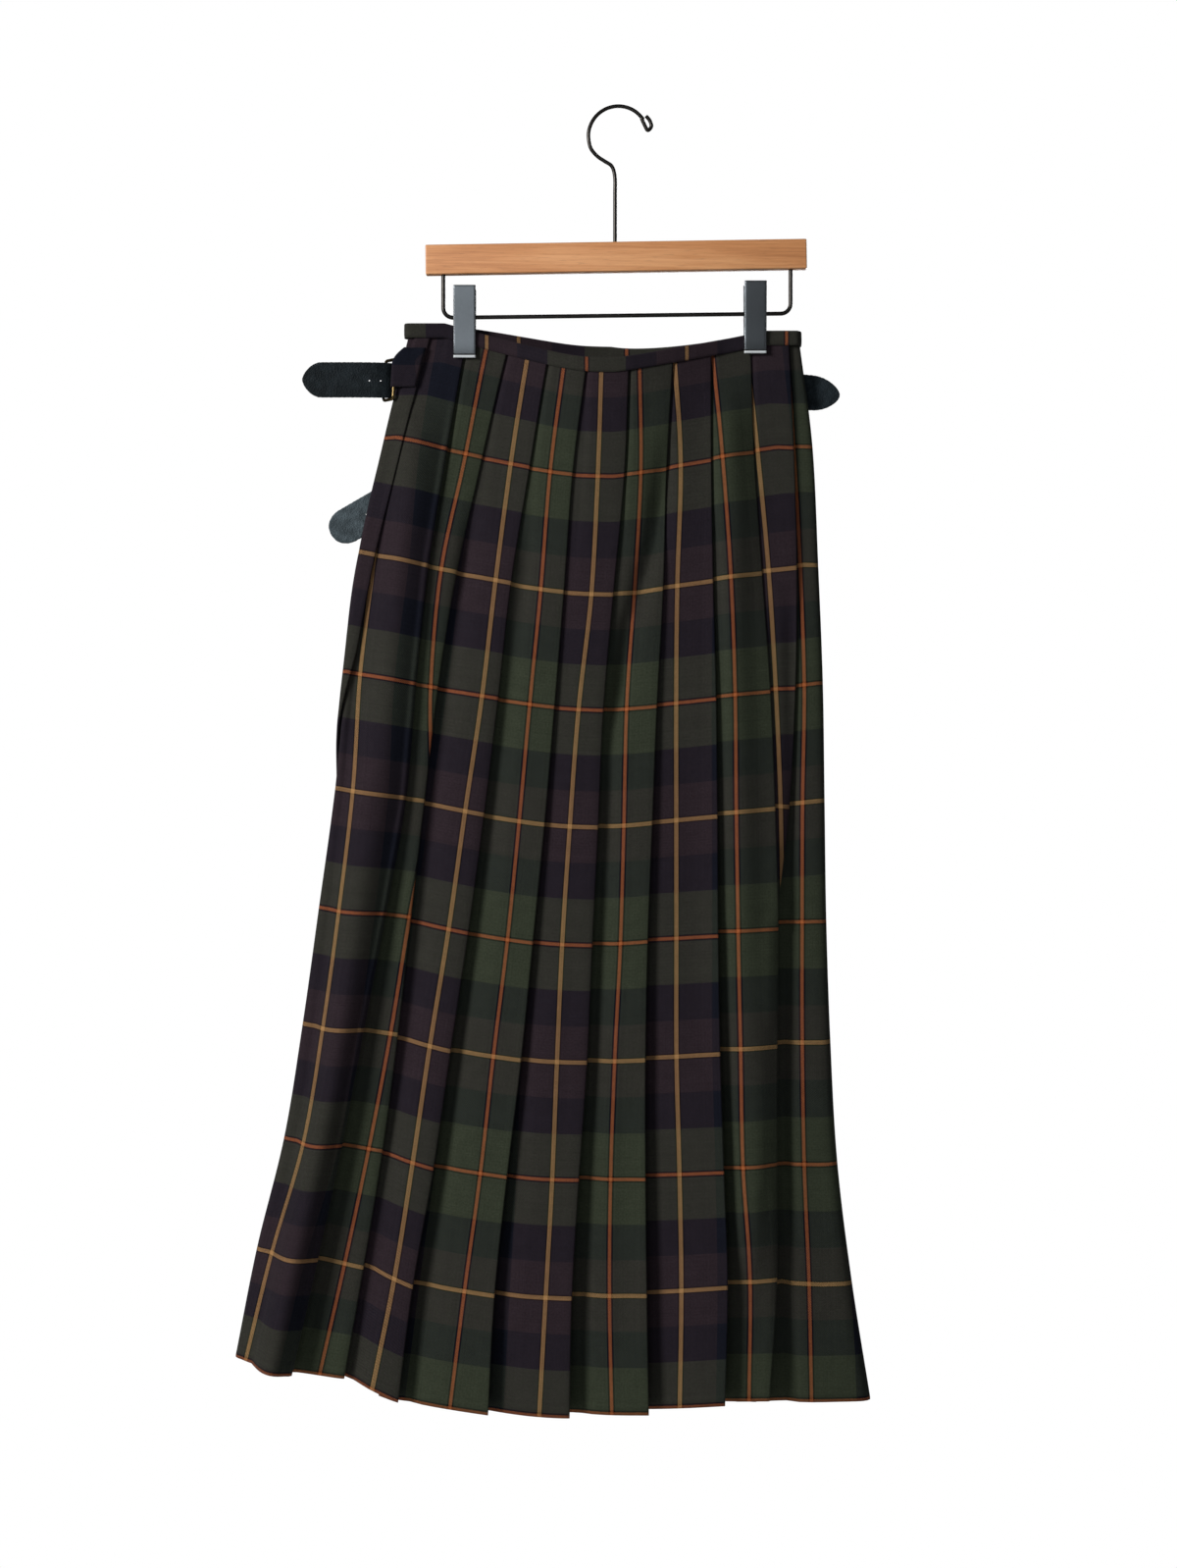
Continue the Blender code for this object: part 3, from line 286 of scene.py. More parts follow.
def clamped(t):
    return max(0.0, min(1.0, t))


def eased(t):
    """0 to 1, soft at both ends, and level beyond them."""
    t = clamped(t)
    return t * t * (3.0 - 2.0 * t)


def creases_at(creases, drop):
    """The creases that cross a level: where each lies, its half-widths, and its height there."""
    here = []
    for left, right, high, path in creases:
        fade = eased(min(drop - path[0][0], path[-1][0] - drop) / CREASE_FADE)
        if fade > 0.0:
            here.append((in_table(path, drop), left, right, high * fade))
    return here


def between(values, place):
    """A smooth value from a list of numbers or points, at a fractional place in the list."""
    last = len(values) - 1
    k = min(int(place), last - 1)
    t = place - k
    start, stop = values[k], values[k + 1]
    before = values[k - 1] if k > 0 else 2 * start - stop
    after = values[k + 2] if k + 2 <= last else 2 * stop - start
    return 0.5 * (2 * start + (stop - before) * t + (2 * before - 5 * start + 4 * stop - after) * t ** 2
                  + (3 * start - before - 3 * stop + after) * t ** 3)


def climb(t, flat):
    """0 to 1: nearly level over the flat part, then a steady climb."""
    def bend(value):
        return value - flat + math.sqrt((value - flat) ** 2 + 0.015)
    t = min(1.0, t)
    return (bend(t) - bend(0.0)) / (bend(1.0) - bend(0.0))


class WeaveLine:
    """The skirt's form along one weft thread, at a fractional level, raised by so much."""

    def __init__(self, place, raised=0.0):
        for name, values in zip(LEVEL_COLUMNS, zip(*LEVELS)):
            setattr(self, name, between(values, place))
        self.place = place
        self.raised = raised
        self.check = (self.drop - raised - LEVELS[1][0]) / HALF_SETT + HEM_TURN * max(0.0, place - 8.0)
        self.reach = eased(self.drop / SPREAD_DROP)
        self.settled = eased(self.drop / LEFT_DROP)
        self.fullness = min(1.0, self.drop / FULL_DROP)
        self.near_side = 0.6 - self.turn
        self.left_centre = self.left + self.turn
        self.right_turn = self.turn + OVER_LAP + OVER_EASE * self.reach
        self.right_centre = self.right - self.right_turn
        self.left_end = self.left_centre - math.pi * self.turn
        self.right_end = self.right_centre + math.pi * self.right_turn
        self.edge = {name: between(edges, place) for name, _, _, _, edges in FOLDS}
        self.stripe = {name: between(spots, place) for name, spots in STRIPES.items()}
        self.near_creases = creases_at(NEAR_CREASES, self.drop)
        self.far_creases = creases_at(FAR_CREASES, self.drop)

    def swell(self, x):
        half = CLIP_HALF + ((self.right - self.left) / 2 - CLIP_HALF) * self.reach
        middle = HANG_MID + ((self.right + self.left) / 2 - HANG_MID) * self.reach
        return max(0.0, 1.0 - ((x - middle) / half) ** 2) ** 2

    def creased(self, x, creases):
        inside = clamped(min((x - self.left) / 12.0, (self.right - x) / 30.0 - 0.3))
        return inside * sum(high * math.exp(-((x - place) / (left if x < place else right)) ** 2)
                            for place, left, right, high in creases)

    def far_y(self, x, turn):
        """How far back the cloth behind lies, past an edge that turns with this radius."""
        inside = clamped(min(x - self.left, self.right - x) / 60.0)
        high, length, slant = WAVE
        wave = high * (self.drop / 900.0) * inside * math.sin((x - slant * self.drop) / length)
        return (self.near_side + 2 * turn + self.far * self.swell(x) + wave
                + self.creased(x, self.far_creases))

    def height(self, x, on_far_side):
        higher = FAR_HIGHER - FAR_SETTLES * self.reach if on_far_side else 0.0
        if x < HANG_MID:
            end = LEFT_BEND + (self.left - LEFT_BEND) * self.settled
            middle = self.z_mid + higher
            return middle + (self.z_left - middle) * climb((HANG_MID - x) / (HANG_MID - end),
                                                           LEVEL_SHARES[0])
        end = RIGHT_BEND + (self.right - RIGHT_BEND) * self.reach
        t = min(1.0, (x - HANG_MID) / (end - HANG_MID))
        rise = (self.z_right - self.z_mid) * climb(t, LEVEL_SHARES[1])
        return self.z_mid + rise + higher * (1.0 - t) ** 2

    def point(self, along, out):
        """A point along the cloth's round: x on the near side, on round the left and right edges."""
        if self.left_centre <= along <= self.right_centre:
            y = (self.near_side - self.near * self.swell(along)
                 - self.creased(along, self.near_creases) - out)
            return Vector((along, y, self.height(along, False) + self.raised))
        side, centre, turn = ((-1, self.left_centre, self.turn) if along < self.left_centre
                              else (1, self.right_centre, self.right_turn))
        angle = side * (along - centre) / turn
        if angle > math.pi:
            x = centre - side * (angle - math.pi) * turn
            y = self.far_y(x, turn) + out
        else:
            across = math.sin(angle)
            x = centre + side * (turn + out) * across
            y = self.near_side + turn - (turn + out) * math.cos(angle)
            if angle <= math.pi / 2:
                y = (self.near_side + turn - self.creased(x, self.near_creases)
                     - (turn + out) * (1.0 - across ** EDGE_SQUARE) ** (1 / EDGE_SQUARE))
        return Vector((x, y, self.height(x, angle > math.pi) + self.raised))

    def under_at(self, x):
        """Where x on the under-apron lies along the round."""
        return self.left_end - (x - self.left_centre)

    def over_at(self, x):
        """Where x on the over-apron lies along the round."""
        return self.right_end + (self.right_centre - x)

    def check_at(self, name, along):
        if name == "z":
            return Z_STRIPE + (along - self.edge["z"]) / HALF_SETT
        return FACES.index(name) + (along - self.stripe[name]) / HALF_SETT


def weave_lines():
    """The cloth's rows, from the edge tucked into the band down to the hem."""
    count = (len(LEVELS) - 1) * ROWS_BETWEEN
    rows = [WeaveLine(0.0, BAND_TUCK), WeaveLine(0.0, BAND_TUCK / 2)]
    return rows + [WeaveLine(k / ROWS_BETWEEN) for k in range(count + 1)]


def steps(start, stop, count):
    return [start + (stop - start) * k / count for k in range(count + 1)]


def through(start, *legs):
    """Places from the start on through each leg's stop, in so many steps to each."""
    places = [start]
    for stop, count in legs:
        places += steps(start, stop, count)[1:]
        start = stop
    return places


def arc(centre, radius, start, stop, count):
    """Points round a centre from one angle to another, in degrees."""
    angles = [math.radians(angle) for angle in steps(start, stop, count)]
    return [(centre[0] + radius * math.cos(angle), centre[1] + radius * math.sin(angle))
            for angle in angles]


def clear_of(layers, along):
    """The least height at which one more layer lies clear over these, here and just beside."""
    tops = [0.0]
    for layer in layers:
        for beside in (along - BESIDE, along, along + BESIDE):
            if layer[0][0] <= beside < layer[-1][0]:
                tops.append(in_table(layer, beside) + LAYER)
    return max(tops)


def inner_folds(row):
    """Where each pleat's cloth turns forward again, behind its face."""
    inner = {"z": row.edge["z"] - Z_FOLD_DEPTH}
    for before, name, following in zip(FACES, FACES[1:], FACES[2:]):
        depth = (HALF_SETT - (row.stripe[following] - row.stripe[name])) / 2
        spacing = row.edge[name] - row.edge[before]
        depth += clamped(spacing / 30.0) * (min(depth, spacing - FOLD_SPACE) - depth)
        inner[name] = row.edge[name] - depth
    inner["i"] = max(inner["i"], inner["h"] + TUCK_STEP)
    return inner


def face_stops(row, name, start, ramp_from, inner):
    """Where a pleat's face has its points, closest where it bends."""
    end = row.edge[name] - FOLD_RADIUS
    flat_to = inner - 1.2
    if name == "z":
        return through(start, (min(row.left_end, inner - 8.0), 3), (flat_to, 9), (end, 7))
    if name == "a":
        clear = start + Z_FOLD_DEPTH
        turn = max(row.left_centre, clear + 8.0)
        return through(start + FOLD_RADIUS, (clear, 5), (turn, 9), (flat_to, 5),
                       (row.edge[name] - 8.0, 4), (end, 7))
    rise_from = (start + inner) / 2 if name == "i" else ramp_from
    return through(start + FOLD_RADIUS, (rise_from, 3), (flat_to, 7), (end, 7))


def pleat_route(row):
    """(along, out, place in the check) across the pleated back.

    It is laid up from the last face, which lies at the bottom, to the first: each layer takes its own
    height, or lies clear over what is already under it.
    """
    inner = inner_folds(row)
    r = FOLD_RADIUS
    right_turn = steps(row.right_centre, row.right_end, 10)
    end = right_turn[-1] + APRON_SEAM
    tail = steps(inner["i"] + r, row.right_centre, 9)[:-1] + right_turn + steps(right_turn[-1], end, 4)[1:]
    route = [(stop, 0.0, row.check_at("j", stop)) for stop in tail]
    below = [[(inner["i"], 0.0), (end, 0.0)]]
    following_base = 0.0
    for k in range(len(FOLDS) - 1, -1, -1):
        name, share, belly, _, _ = FOLDS[k]
        edge = row.edge[name]
        start = inner[PLEATS[k - 1]] if k else edge - Z_FACE
        hidden = row.edge[PLEATS[k - 1]] - start if k else 0.0
        wanted_top = {"z": Z_LIFT * (0.3 + 0.7 * row.fullness),
                      "i": row.tuck_lift}.get(name, row.lift * share)
        top = max(wanted_top, clear_of(below, edge - r) + LAYER)
        ramp_from = start + min(row.cling * hidden, 0.7 * (edge - start))
        if name == "z":
            ramp_from = start + Z_LEVEL_RUN
        elif name == "a":
            ramp_from = max(start + Z_FOLD_DEPTH * row.cling, row.left_centre)

        low = following_base + LAYER
        behind = []
        for along in steps(inner[name] + r, edge - r, 7):
            t = (along - inner[name] - r) / (edge - inner[name] - 2 * r)
            straight = low + (top - LAYER - low) * t
            behind.append((along, max(straight, clear_of(below, along)) if 0.0 < t < 1.0 else straight))
        below.append([(inner[name], low)] + behind)

        face = []
        for stop in face_stops(row, name, start, ramp_from, inner[name]):
            t = max(0.0, (stop - ramp_from) / (edge - ramp_from))
            t = t * t if name == "z" else t + belly * row.fullness * math.sin(math.pi * t)
            face.append((stop, max(top * t, clear_of(below, stop)) if stop < edge - 1.01 * r else top))
        base = face[0][1]
        below.append([(start, base)] + face)

        edge_check = row.check_at(name, edge)
        inner_check = row.check_at(FACES[k + 1], inner[name])
        laid = [(along, out, row.check_at(name, along)) for along, out in face]
        for along, out in arc((edge - r, top - r), r, 90.0, -90.0, 6)[1:-1]:
            past = (edge - along) / HALF_SETT
            laid.append((along, out, edge_check - past if out > top - r else edge_check + past))
        for along, out in reversed(behind):
            gone = (edge - along) / (edge - inner[name])
            laid.append((along, out, edge_check + (inner_check - edge_check) * gone))
        for along, out in arc((inner[name] + r, following_base + r), r, 90.0, 270.0, 6)[1:-1]:
            past = (along - inner[name]) / HALF_SETT
            ahead = out < following_base + r
            laid.append((along, out, inner_check + past if ahead else inner_check - past))
        route = laid + route
        following_base = base
    return route


def weft_steps(row):
    """(place in the check, how far the weft is up): it tilts across each face and steps at its fold."""
    share = min(1.0, row.drop / 60.0) * (0.35 + 0.65 * row.drop / 900.0)
    shown = [fold for fold in FOLDS[1:] if fold[0] != "i" or row.edge["i"] > row.edge["h"] + 3.0]
    table = [(1.0, 0.0)]
    for (name, _, _, step, _), following in zip(shown, [fold[0] for fold in shown[1:]] + ["j"]):
        before, after = (between(4 * (0.0,) + hang, row.place) for hang in WEFT_HANG[name])
        edge = row.edge[name]
        table.append((row.check_at(name, edge), -step * share / 2 - before))
        table.append((row.check_at(following, edge), step * share / 2 - after))
    return table + [(table[-1][0] + 0.4, 0.0)]


def pleated_line(row):
    """A row of the pleated back: (point, place in the check across, place down) along its route."""
    stepped = weft_steps(row)
    return [(row.point(along, out) + Vector((0.0, 0.0, in_table(stepped, check))), check, row.check)
            for along, out, check in pleat_route(row)]


def new_piece(name, points, faces):
    """A piece with these faces, its points in millimetres."""
    mesh = bpy.data.meshes.new(name)
    mesh.from_pydata([point * MM for point in points], [], faces)
    made = bpy.data.objects.new(name, mesh)
    bpy.context.collection.objects.link(made)
    return made


def cloth_shell(name, grid, finish):
    """Cloth through a grid of (point, place in the check across, place down), given its thickness."""
    wide = len(grid[0])
    checks = [(across, down) for row in grid for _, across, down in row]
    faces = []
    for row in range(len(grid) - 1):
        for k in range(wide - 1):
            low = row * wide + k
            faces.append((low, low + wide, low + wide + 1, low + 1))
    made = new_piece(name, [point for row in grid for point, _, _ in row], faces)
    mesh = made.data
    weave = mesh.uv_layers.new(name="weave")
    for loop in mesh.loops:
        weave.data[loop.index].uv = checks[loop.vertex_index]
    mesh.materials.append(finish)
    mesh.shade_smooth()
    wall = made.modifiers.new("wall", "SOLIDIFY")
    wall.thickness = CLOTH * MM
    wall.offset = 0.0
    return made


def maths(tree, operation, first, second=None):
    node = new_node(tree, "Math", operation=operation)
    for socket, value in zip(node.inputs, (first, second)):
        if isinstance(value, (int, float)):
            socket.default_value = value
        elif value is not None:
            tree.links.new(value, socket)
    return node.outputs["Value"]


def colour_ramp(tree, value, stops, interpolation="LINEAR"):
    """The colour for a value, from stops of (value, colour)."""
    node = new_node(tree, "ValToRGB", Fac=value)
    ramp = node.color_ramp
    ramp.interpolation = interpolation
    while len(ramp.elements) < len(stops):
        ramp.elements.new(0.5)
    for element, (position, colour) in zip(ramp.elements, stops):
        element.position = position
        element.color = colour
    return node.outputs["Color"]


def noise(tree, place, scale, detail):
    return new_node(tree, "TexNoise", Scale=scale, Detail=detail, Vector=place).outputs["Fac"]


def raise_grain(shader, height, strength, distance):
    """Roughen a shader's surface by a height."""
    bump = new_node(shader.id_data, "Bump", Strength=strength, Distance=distance, Height=height)
    set_node(shader, Normal=bump.outputs["Normal"])


def woven(name):
    """Twill in the check: warp and weft are both dyed in the same order of stripes."""
    finish, shader = plain_material(name, (0.03, 0.04, 0.03, 1.0), 0.88)
    tree = finish.node_tree
    dyes = ((0.0, (146, 82, 46)), (0.0139, (12, 11, 10)), (0.0243, (48, 53, 42)), (0.389, (19, 21, 30)),
            (0.693, (41, 33, 38)), (0.972, (12, 10, 11)), (0.9822, (150, 114, 74)))
    stripes = [(position, finish_colour(*dye)) for position, dye in dyes]
    weave = new_node(tree, "UVMap", uv_map="weave").outputs["UV"]
    split = new_node(tree, "SeparateXYZ", Vector=weave)
    yarn, number, bulge = {}, {}, {}
    for direction in ("X", "Y"):
        across = split.outputs[direction]
        number[direction] = maths(tree, "FLOOR", maths(tree, "MULTIPLY", across, THREADS))
        place = maths(tree, "DIVIDE", maths(tree, "ADD", number[direction], 0.5), THREADS)
        dyed = colour_ramp(tree, maths(tree, "PINGPONG", place, 1.0), stripes, "CONSTANT")
        uneven = new_node(tree, "TexWhiteNoise", noise_dimensions="1D", W=number[direction])
        shade = maths(tree, "ADD", maths(tree, "MULTIPLY", uneven.outputs["Value"], 0.24), 0.88)
        tint = new_node(tree, "VectorMath", operation="SCALE", Vector=dyed, Scale=shade)
        yarn[direction] = tint.outputs["Vector"]
        turns = maths(tree, "MULTIPLY", across, math.pi * THREADS)
        bulge[direction] = maths(tree, "ABSOLUTE", maths(tree, "SINE", turns))
    rib = maths(tree, "FRACT", maths(tree, "DIVIDE", maths(tree, "ADD", number["X"], number["Y"]), 4.0))
    warp_on_top = maths(tree, "LESS_THAN", rib, 0.45)
    cloth = new_node(tree, "Mix", data_type="RGBA", Factor=warp_on_top, A=yarn["Y"], B=yarn["X"])
    nap = maths(tree, "ADD", maths(tree, "MULTIPLY", noise(tree, weave, 9.0, 4.0), 0.3), 0.85)
    slubs = maths(tree, "ADD", maths(tree, "MULTIPLY", noise(tree, weave, 62.0, 2.0), 0.7), 0.65)
    mottled = new_node(tree, "VectorMath", operation="SCALE", Vector=cloth.outputs["Result"],
                       Scale=maths(tree, "MULTIPLY", nap, slubs))
    relief = new_node(tree, "Mix", Factor=warp_on_top, A=bulge["Y"], B=bulge["X"]).outputs["Result"]
    raise_grain(shader, maths(tree, "ADD", relief, noise(tree, weave, 160.0, 3.0)), 0.3, 0.0001)
    set_node(shader, Base_Color=mottled.outputs["Vector"], Sheen_Weight=0.03, Sheen_Roughness=0.5,
             Specular_IOR_Level=0.03)
    return finish


def dress(piece, node):
    """A finished piece rides on the one body, in place of its solid, in a finish that can be changed."""
    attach(piece, "root")
    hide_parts(node)


tartan = woven("tartan_cloth")
rows = weave_lines()
back = cloth_shell("pleated_back_cloth", [pleated_line(row) for row in rows], tartan)
dress(back, "pleated_back")
hem_route = pleat_route(rows[-1])


# ---------------------------------------------------------------- under-apron
# The same twill, one flat panel on the inside.  It is seamed to the first pleat behind the left edge, and
# its free edge lies inside the right turn.

SEAM_GAP = 0.3


def flat_panel(name, node, run_at):
    """A panel with no pleats: run_at gives each row's start, stop, and place in the check at the start."""
    grid = []
    for row in rows:
        start, stop, check = run_at(row)
        grid.append([(row.point(along, 0.0), check + (along - start) / HALF_SETT, row.check)
                     for along in steps(start, stop, 90)])
    panel = cloth_shell(name, grid, tartan)
    dress(panel, node)
    start, stop, _ = run_at(rows[len(rows) // 2])


def under_run(row):
    free = row.under_at(row.right_centre - UNDER_FREE)
    seam = row.edge["z"] - Z_FACE - SEAM_GAP
    return free, seam, Z_STRIPE - Z_FACE / HALF_SETT - (seam - free) / HALF_SETT


flat_panel("under_apron_cloth", "under_apron", under_run)


# ---------------------------------------------------------------- over-apron
# The outer flat panel, seamed to the last pleat behind the right edge.  It lies over the under-apron, and
# its free edge comes almost to the left edge.

def over_run(row):
    seam = row.over_at(row.right_centre - APRON_SEAM - SEAM_GAP)
    return seam, row.over_at(row.left + OVER_FREE), 9.0 + (seam - row.stripe["j"]) / HALF_SETT


flat_panel("over_apron_cloth", "over_apron", over_run)


# ---------------------------------------------------------------- waistband
# One long strip of the same twill, folded over the panels' top edges and sewn through them all.  It runs
# from the under-apron's free edge, round the pleated back, to the over-apron's free edge.

BAND_HEIGHT = 12.8
BAND_PLAY = 0.4            # between the strip and the cloth inside it
BAND_WALL = 1.0            # the strip's thickness, with a little to spare
BAND_ROUND = 1.3           # how far the folded top edge is rounded
BAND_BRIDGE = (1.5, 7.0)   # rests on what is highest this far beside: on the under-apron, and elsewhere
BAND_DOWN = (0.80, 0.93)   # the place in the check at the band's lower and upper edge

# Where the check's stripes fall round the strip, even numbers at one colour of line and odd at the other.
BAND_CHECK = ((-560.0, -5.86), (-372.7, -4.0), (-278.5, -3.0), (-186.0, -1.84), (145.6, 2.0),
              (520.0, 6.3))


def highest(path, along):
    """How far out the uppermost layer of a path lies at a place."""
    reach = [0.0]
    for (start, start_out, _), (stop, stop_out, _) in zip(path, path[1:]):
        if min(start, stop) <= along <= max(start, stop) and start != stop:
            reach.append(start_out + (stop_out - start_out) * (along - start) / (stop - start))
    return max(reach)


def rest_height(path, along, beside):
    """How far out something stiff lies on a path, resting on what is highest this far to each side."""
    return max(highest(path, along + beside * share) for share in (-1.0, -0.5, 0.0, 0.5, 1.0))


def waistband_grid():
    """Rows from the outer leg's lower edge, over the fold, to the inner leg's lower edge."""
    row = WeaveLine(0.0)
    cloth = pleat_route(row)
    stations = through(row.under_at(row.right_centre - UNDER_FREE) - 1.0, (row.left_end - 6.0, 90),
                       (row.left_centre, 14), (row.right_centre, 150), (row.right_end, 12),
                       (row.over_at(row.left + OVER_FREE) + 1.0, 90))
    heights = [rest_height(cloth, along, BAND_BRIDGE[0 if along < row.left_end else 1])
               for along in stations]
    leg = BAND_PLAY + CLOTH / 2 + BAND_WALL / 2
    grid = []
    for k, along in enumerate(stations):
        close = heights[max(k - 3, 0):k + 4]
        thick = max(heights[k], sum(close) / len(close))
        outside = thick + leg
        profile = [(outside - 0.25, 0.0), (outside + 0.05, 2.5), (outside + 0.1, 6.0)]
        for angle in steps(0.0, math.pi, 8):
            wide = (outside + leg) / 2
            side = math.cos(angle)
            flat = max(wide - BAND_ROUND, 0.0) * (1 if side > 0.01 else -1 if side < -0.01 else 0)
            profile.append((outside - wide + flat + BAND_ROUND * side,
                            BAND_HEIGHT - BAND_WALL / 2 - BAND_ROUND + BAND_ROUND * math.sin(angle)))
        profile += [(-leg, 6.0), (-leg, 2.5), (-leg, 0.0)]
        across = in_table(BAND_CHECK, along)
        column = []
        for out, up in profile:
            down = BAND_DOWN[0] + (BAND_DOWN[1] - BAND_DOWN[0]) * up / BAND_HEIGHT
            column.append((row.point(along, out) + Vector((0.0, 0.0, up)), across, down))
        grid.append(column)
    return [list(line) for line in zip(*grid)], stations[-1] - stations[0]


band_rows, band_length = waistband_grid()
band = cloth_shell("waistband_cloth", band_rows, woven("tartan_band"))
dress(band, "waistband")


# ---------------------------------------------------------------- buckle tab
# A doubled scrap of the same twill, sewn on the first pleat's face just behind its fold.  It runs round the
# buckle's inner bar and holds the buckle.

TAB_TOP = -208.8
TAB_FOOT = -242.6
TAB_CUT = (-223.0, 14.0, 9.5)  # its upper corner is cut away from this height, over this much, by so much
TAB_FOLD_RADIUS = 2.35
TAB_ROOT_X = -168.0
TAB_LAYER_GAP = 0.5        # how much further its two layers part towards the bar
TAB_CHECK = (0.22, 0.545)  # the place in the check at the tab's root, and down its upper edge
INNER_BAR = (-193.5, -7.0)  # the middle of the buckle's inner bar, as x and y
BUCKLE_Z = -235.9
BUCKLE_LEAN = 0.06


def place_for(z, x, far_side):
    """The fractional level whose weft thread passes through this height at x."""
    low = 0.0
    high = float(len(LEVELS) - 1)
    for _ in range(40):
        middle = (low + high) / 2
        if WeaveLine(middle).height(x, far_side) > z:
            low = middle
        else:
            high = middle
    return low


def distances(path):
    """How far along a path each of its points lies."""
    gone = [0.0]
    for before, after in zip(path, path[1:]):
        gone.append(gone[-1] + (after - before).length)
    return gone


def tab_grid():
    """Rows down the tab: each from the root behind, round the bar, to the root in front."""
    grid = []
    for z in steps(TAB_TOP, TAB_FOOT, 16):
        row = WeaveLine(place_for(z, TAB_ROOT_X, False))
        cloth = pleat_route(row)
        cut_from, cut_run, cut_by = TAB_CUT
        cut = clamped((z - cut_from) / cut_run)
        fold = (INNER_BAR[0] + BUCKLE_LEAN * (z - BUCKLE_Z) + cut_by * cut * cut, INNER_BAR[1])
        path = []
        for back in steps(0.8, 14.0, 5):
            along = row.edge["z"] - back
            path.append(row.point(along, rest_height(cloth, along, 2.0) + 1.0 + 0.03 * back))
        front = [place - Vector((0.0, 1.0 + TAB_LAYER_GAP * k / len(path), 0.0))
                 for k, place in enumerate(path)][::-1]
        path += [Vector((x, y, z)) for x, y in arc(fold, TAB_FOLD_RADIUS, 90.0, 270.0, 8)] + front
        for place in path:
            place.z = z
        gone = distances(path)
        down = TAB_CHECK[1] + (TAB_TOP - z) / HALF_SETT
        grid.append([(place, TAB_CHECK[0] + reached / HALF_SETT, down)
                     for place, reached in zip(path, gone)])
    return grid, gone[-1]


tab_rows, tab_length = tab_grid()
tab = cloth_shell("buckle_tab_cloth", tab_rows, tartan)
dress(tab, "buckle_tab")


# ---------------------------------------------------------------- buckle
# A small frame of pale brass wire with two upright bars.  Its inner bar lies in the tab's fold.  A tongue
# goes from that bar back through the waist strap, and its tip rests behind the outer bar.

BUCKLE_HEIGHT = 34.2
BUCKLE_WIRE = 1.4
BUCKLE_CORNER = 2.6
OUTER_BAR = (-202.5, 4.5)
TONGUE_WIRE = 0.8

# The tongue's route from the inner bar through the strap's hole, as x and y.
TONGUE_ROUTE = ((-193.5, -6.0), (-193.9, 1.0), (-194.1, 5.0), (-195.6, 7.7), (-198.0, 8.3), (-201.0, 7.7),
                (-203.3, 7.0))


def round_wire(name, points, radius, finish, closed=False):
    """A round wire along the points: a path with a round section, made a mesh."""
    bpy.ops.object.select_all(action="DESELECT")
    bpy.ops.curve.primitive_nurbs_path_add()
    made = bpy.context.object
    made.name = name
    curve = made.data
    curve.splines.clear()
    curve.dimensions = "3D"
    curve.bevel_depth = radius * MM
    curve.bevel_resolution = 6
    curve.use_fill_caps = not closed
    spline = curve.splines.new("POLY")
    spline.points.add(len(points) - 1)
    for place, point in zip(spline.points, points):
        place.co = (*(Vector(point) * MM), 1.0)
    spline.use_cyclic_u = closed
    bpy.ops.object.convert(target="MESH")
    made.data.materials.clear()
    made.data.materials.append(finish)
    made.data.shade_smooth()
    return made


def metal(name, colour, roughness, wear):
    """Plated metal with fine scuffs in its polish."""
    finish, shader = plain_material(name, colour, roughness, 1.0)
    tree = finish.node_tree
    place = new_node(tree, "TexCoord").outputs["Object"]
    rough = new_node(tree, "MapRange", Value=noise(tree, place, 420.0, 5.0), To_Min=roughness - wear,
                     To_Max=roughness + wear)
    set_node(shader, Roughness=rough.outputs["Result"])
    return finish


def buckle_loop():
    across = Vector((OUTER_BAR[0] - INNER_BAR[0], OUTER_BAR[1] - INNER_BAR[1], 0.0))
    centre = Vector((INNER_BAR[0], INNER_BAR[1], BUCKLE_Z)) + across / 2
    half_wide = across.length / 2 - BUCKLE_CORNER
    half_tall = BUCKLE_HEIGHT / 2 - BUCKLE_CORNER
    across.normalize()
    loop = []
    for start, wide, tall in ((0.0, 1, 1), (90.0, -1, 1), (180.0, -1, -1), (270.0, 1, -1)):
        corner = (wide * half_wide, tall * half_tall)
        for sideways, up in arc(corner, BUCKLE_CORNER, start, start + 90.0, 8):
            loop.append(centre + across * sideways + Vector((BUCKLE_LEAN * up, 0.0, up)))
    return loop


brass = metal("pale_brass", finish_colour(104, 88, 58), 0.28, 0.06)
buckle = round_wire("buckle_wire", buckle_loop(), BUCKLE_WIRE, brass, closed=True)
dress(buckle, "buckle_frame")
tongue = round_wire("buckle_tongue", [(x, y, BUCKLE_Z) for x, y in TONGUE_ROUTE], TONGUE_WIRE, brass)
dress(tongue, "buckle_frame")


# ---------------------------------------------------------------- leather straps
# Three straps of soft black leather with a suede edge, sewn on the over-apron: the waist strap runs through
# the buckle, the hip strap hangs out at the left edge, and the right strap's tip stands out at the right.

STRAP_WIDTH = 30.6
STRAP_THICK = 2.4
STRAP_REST = 3.0           # from the over-apron's middle layer to the middle of the leather sewn on it
STRAP_STEP = 1.2           # from one cross-section to the next
HIP_ROOT = (-171.0, -323.0)  # the middle of its sewn end and of its tip, as x and z
HIP_TIP = (-249.5, -369.0)
RIGHT_Z = -243.0
HOLE_RADIUS = 0.7


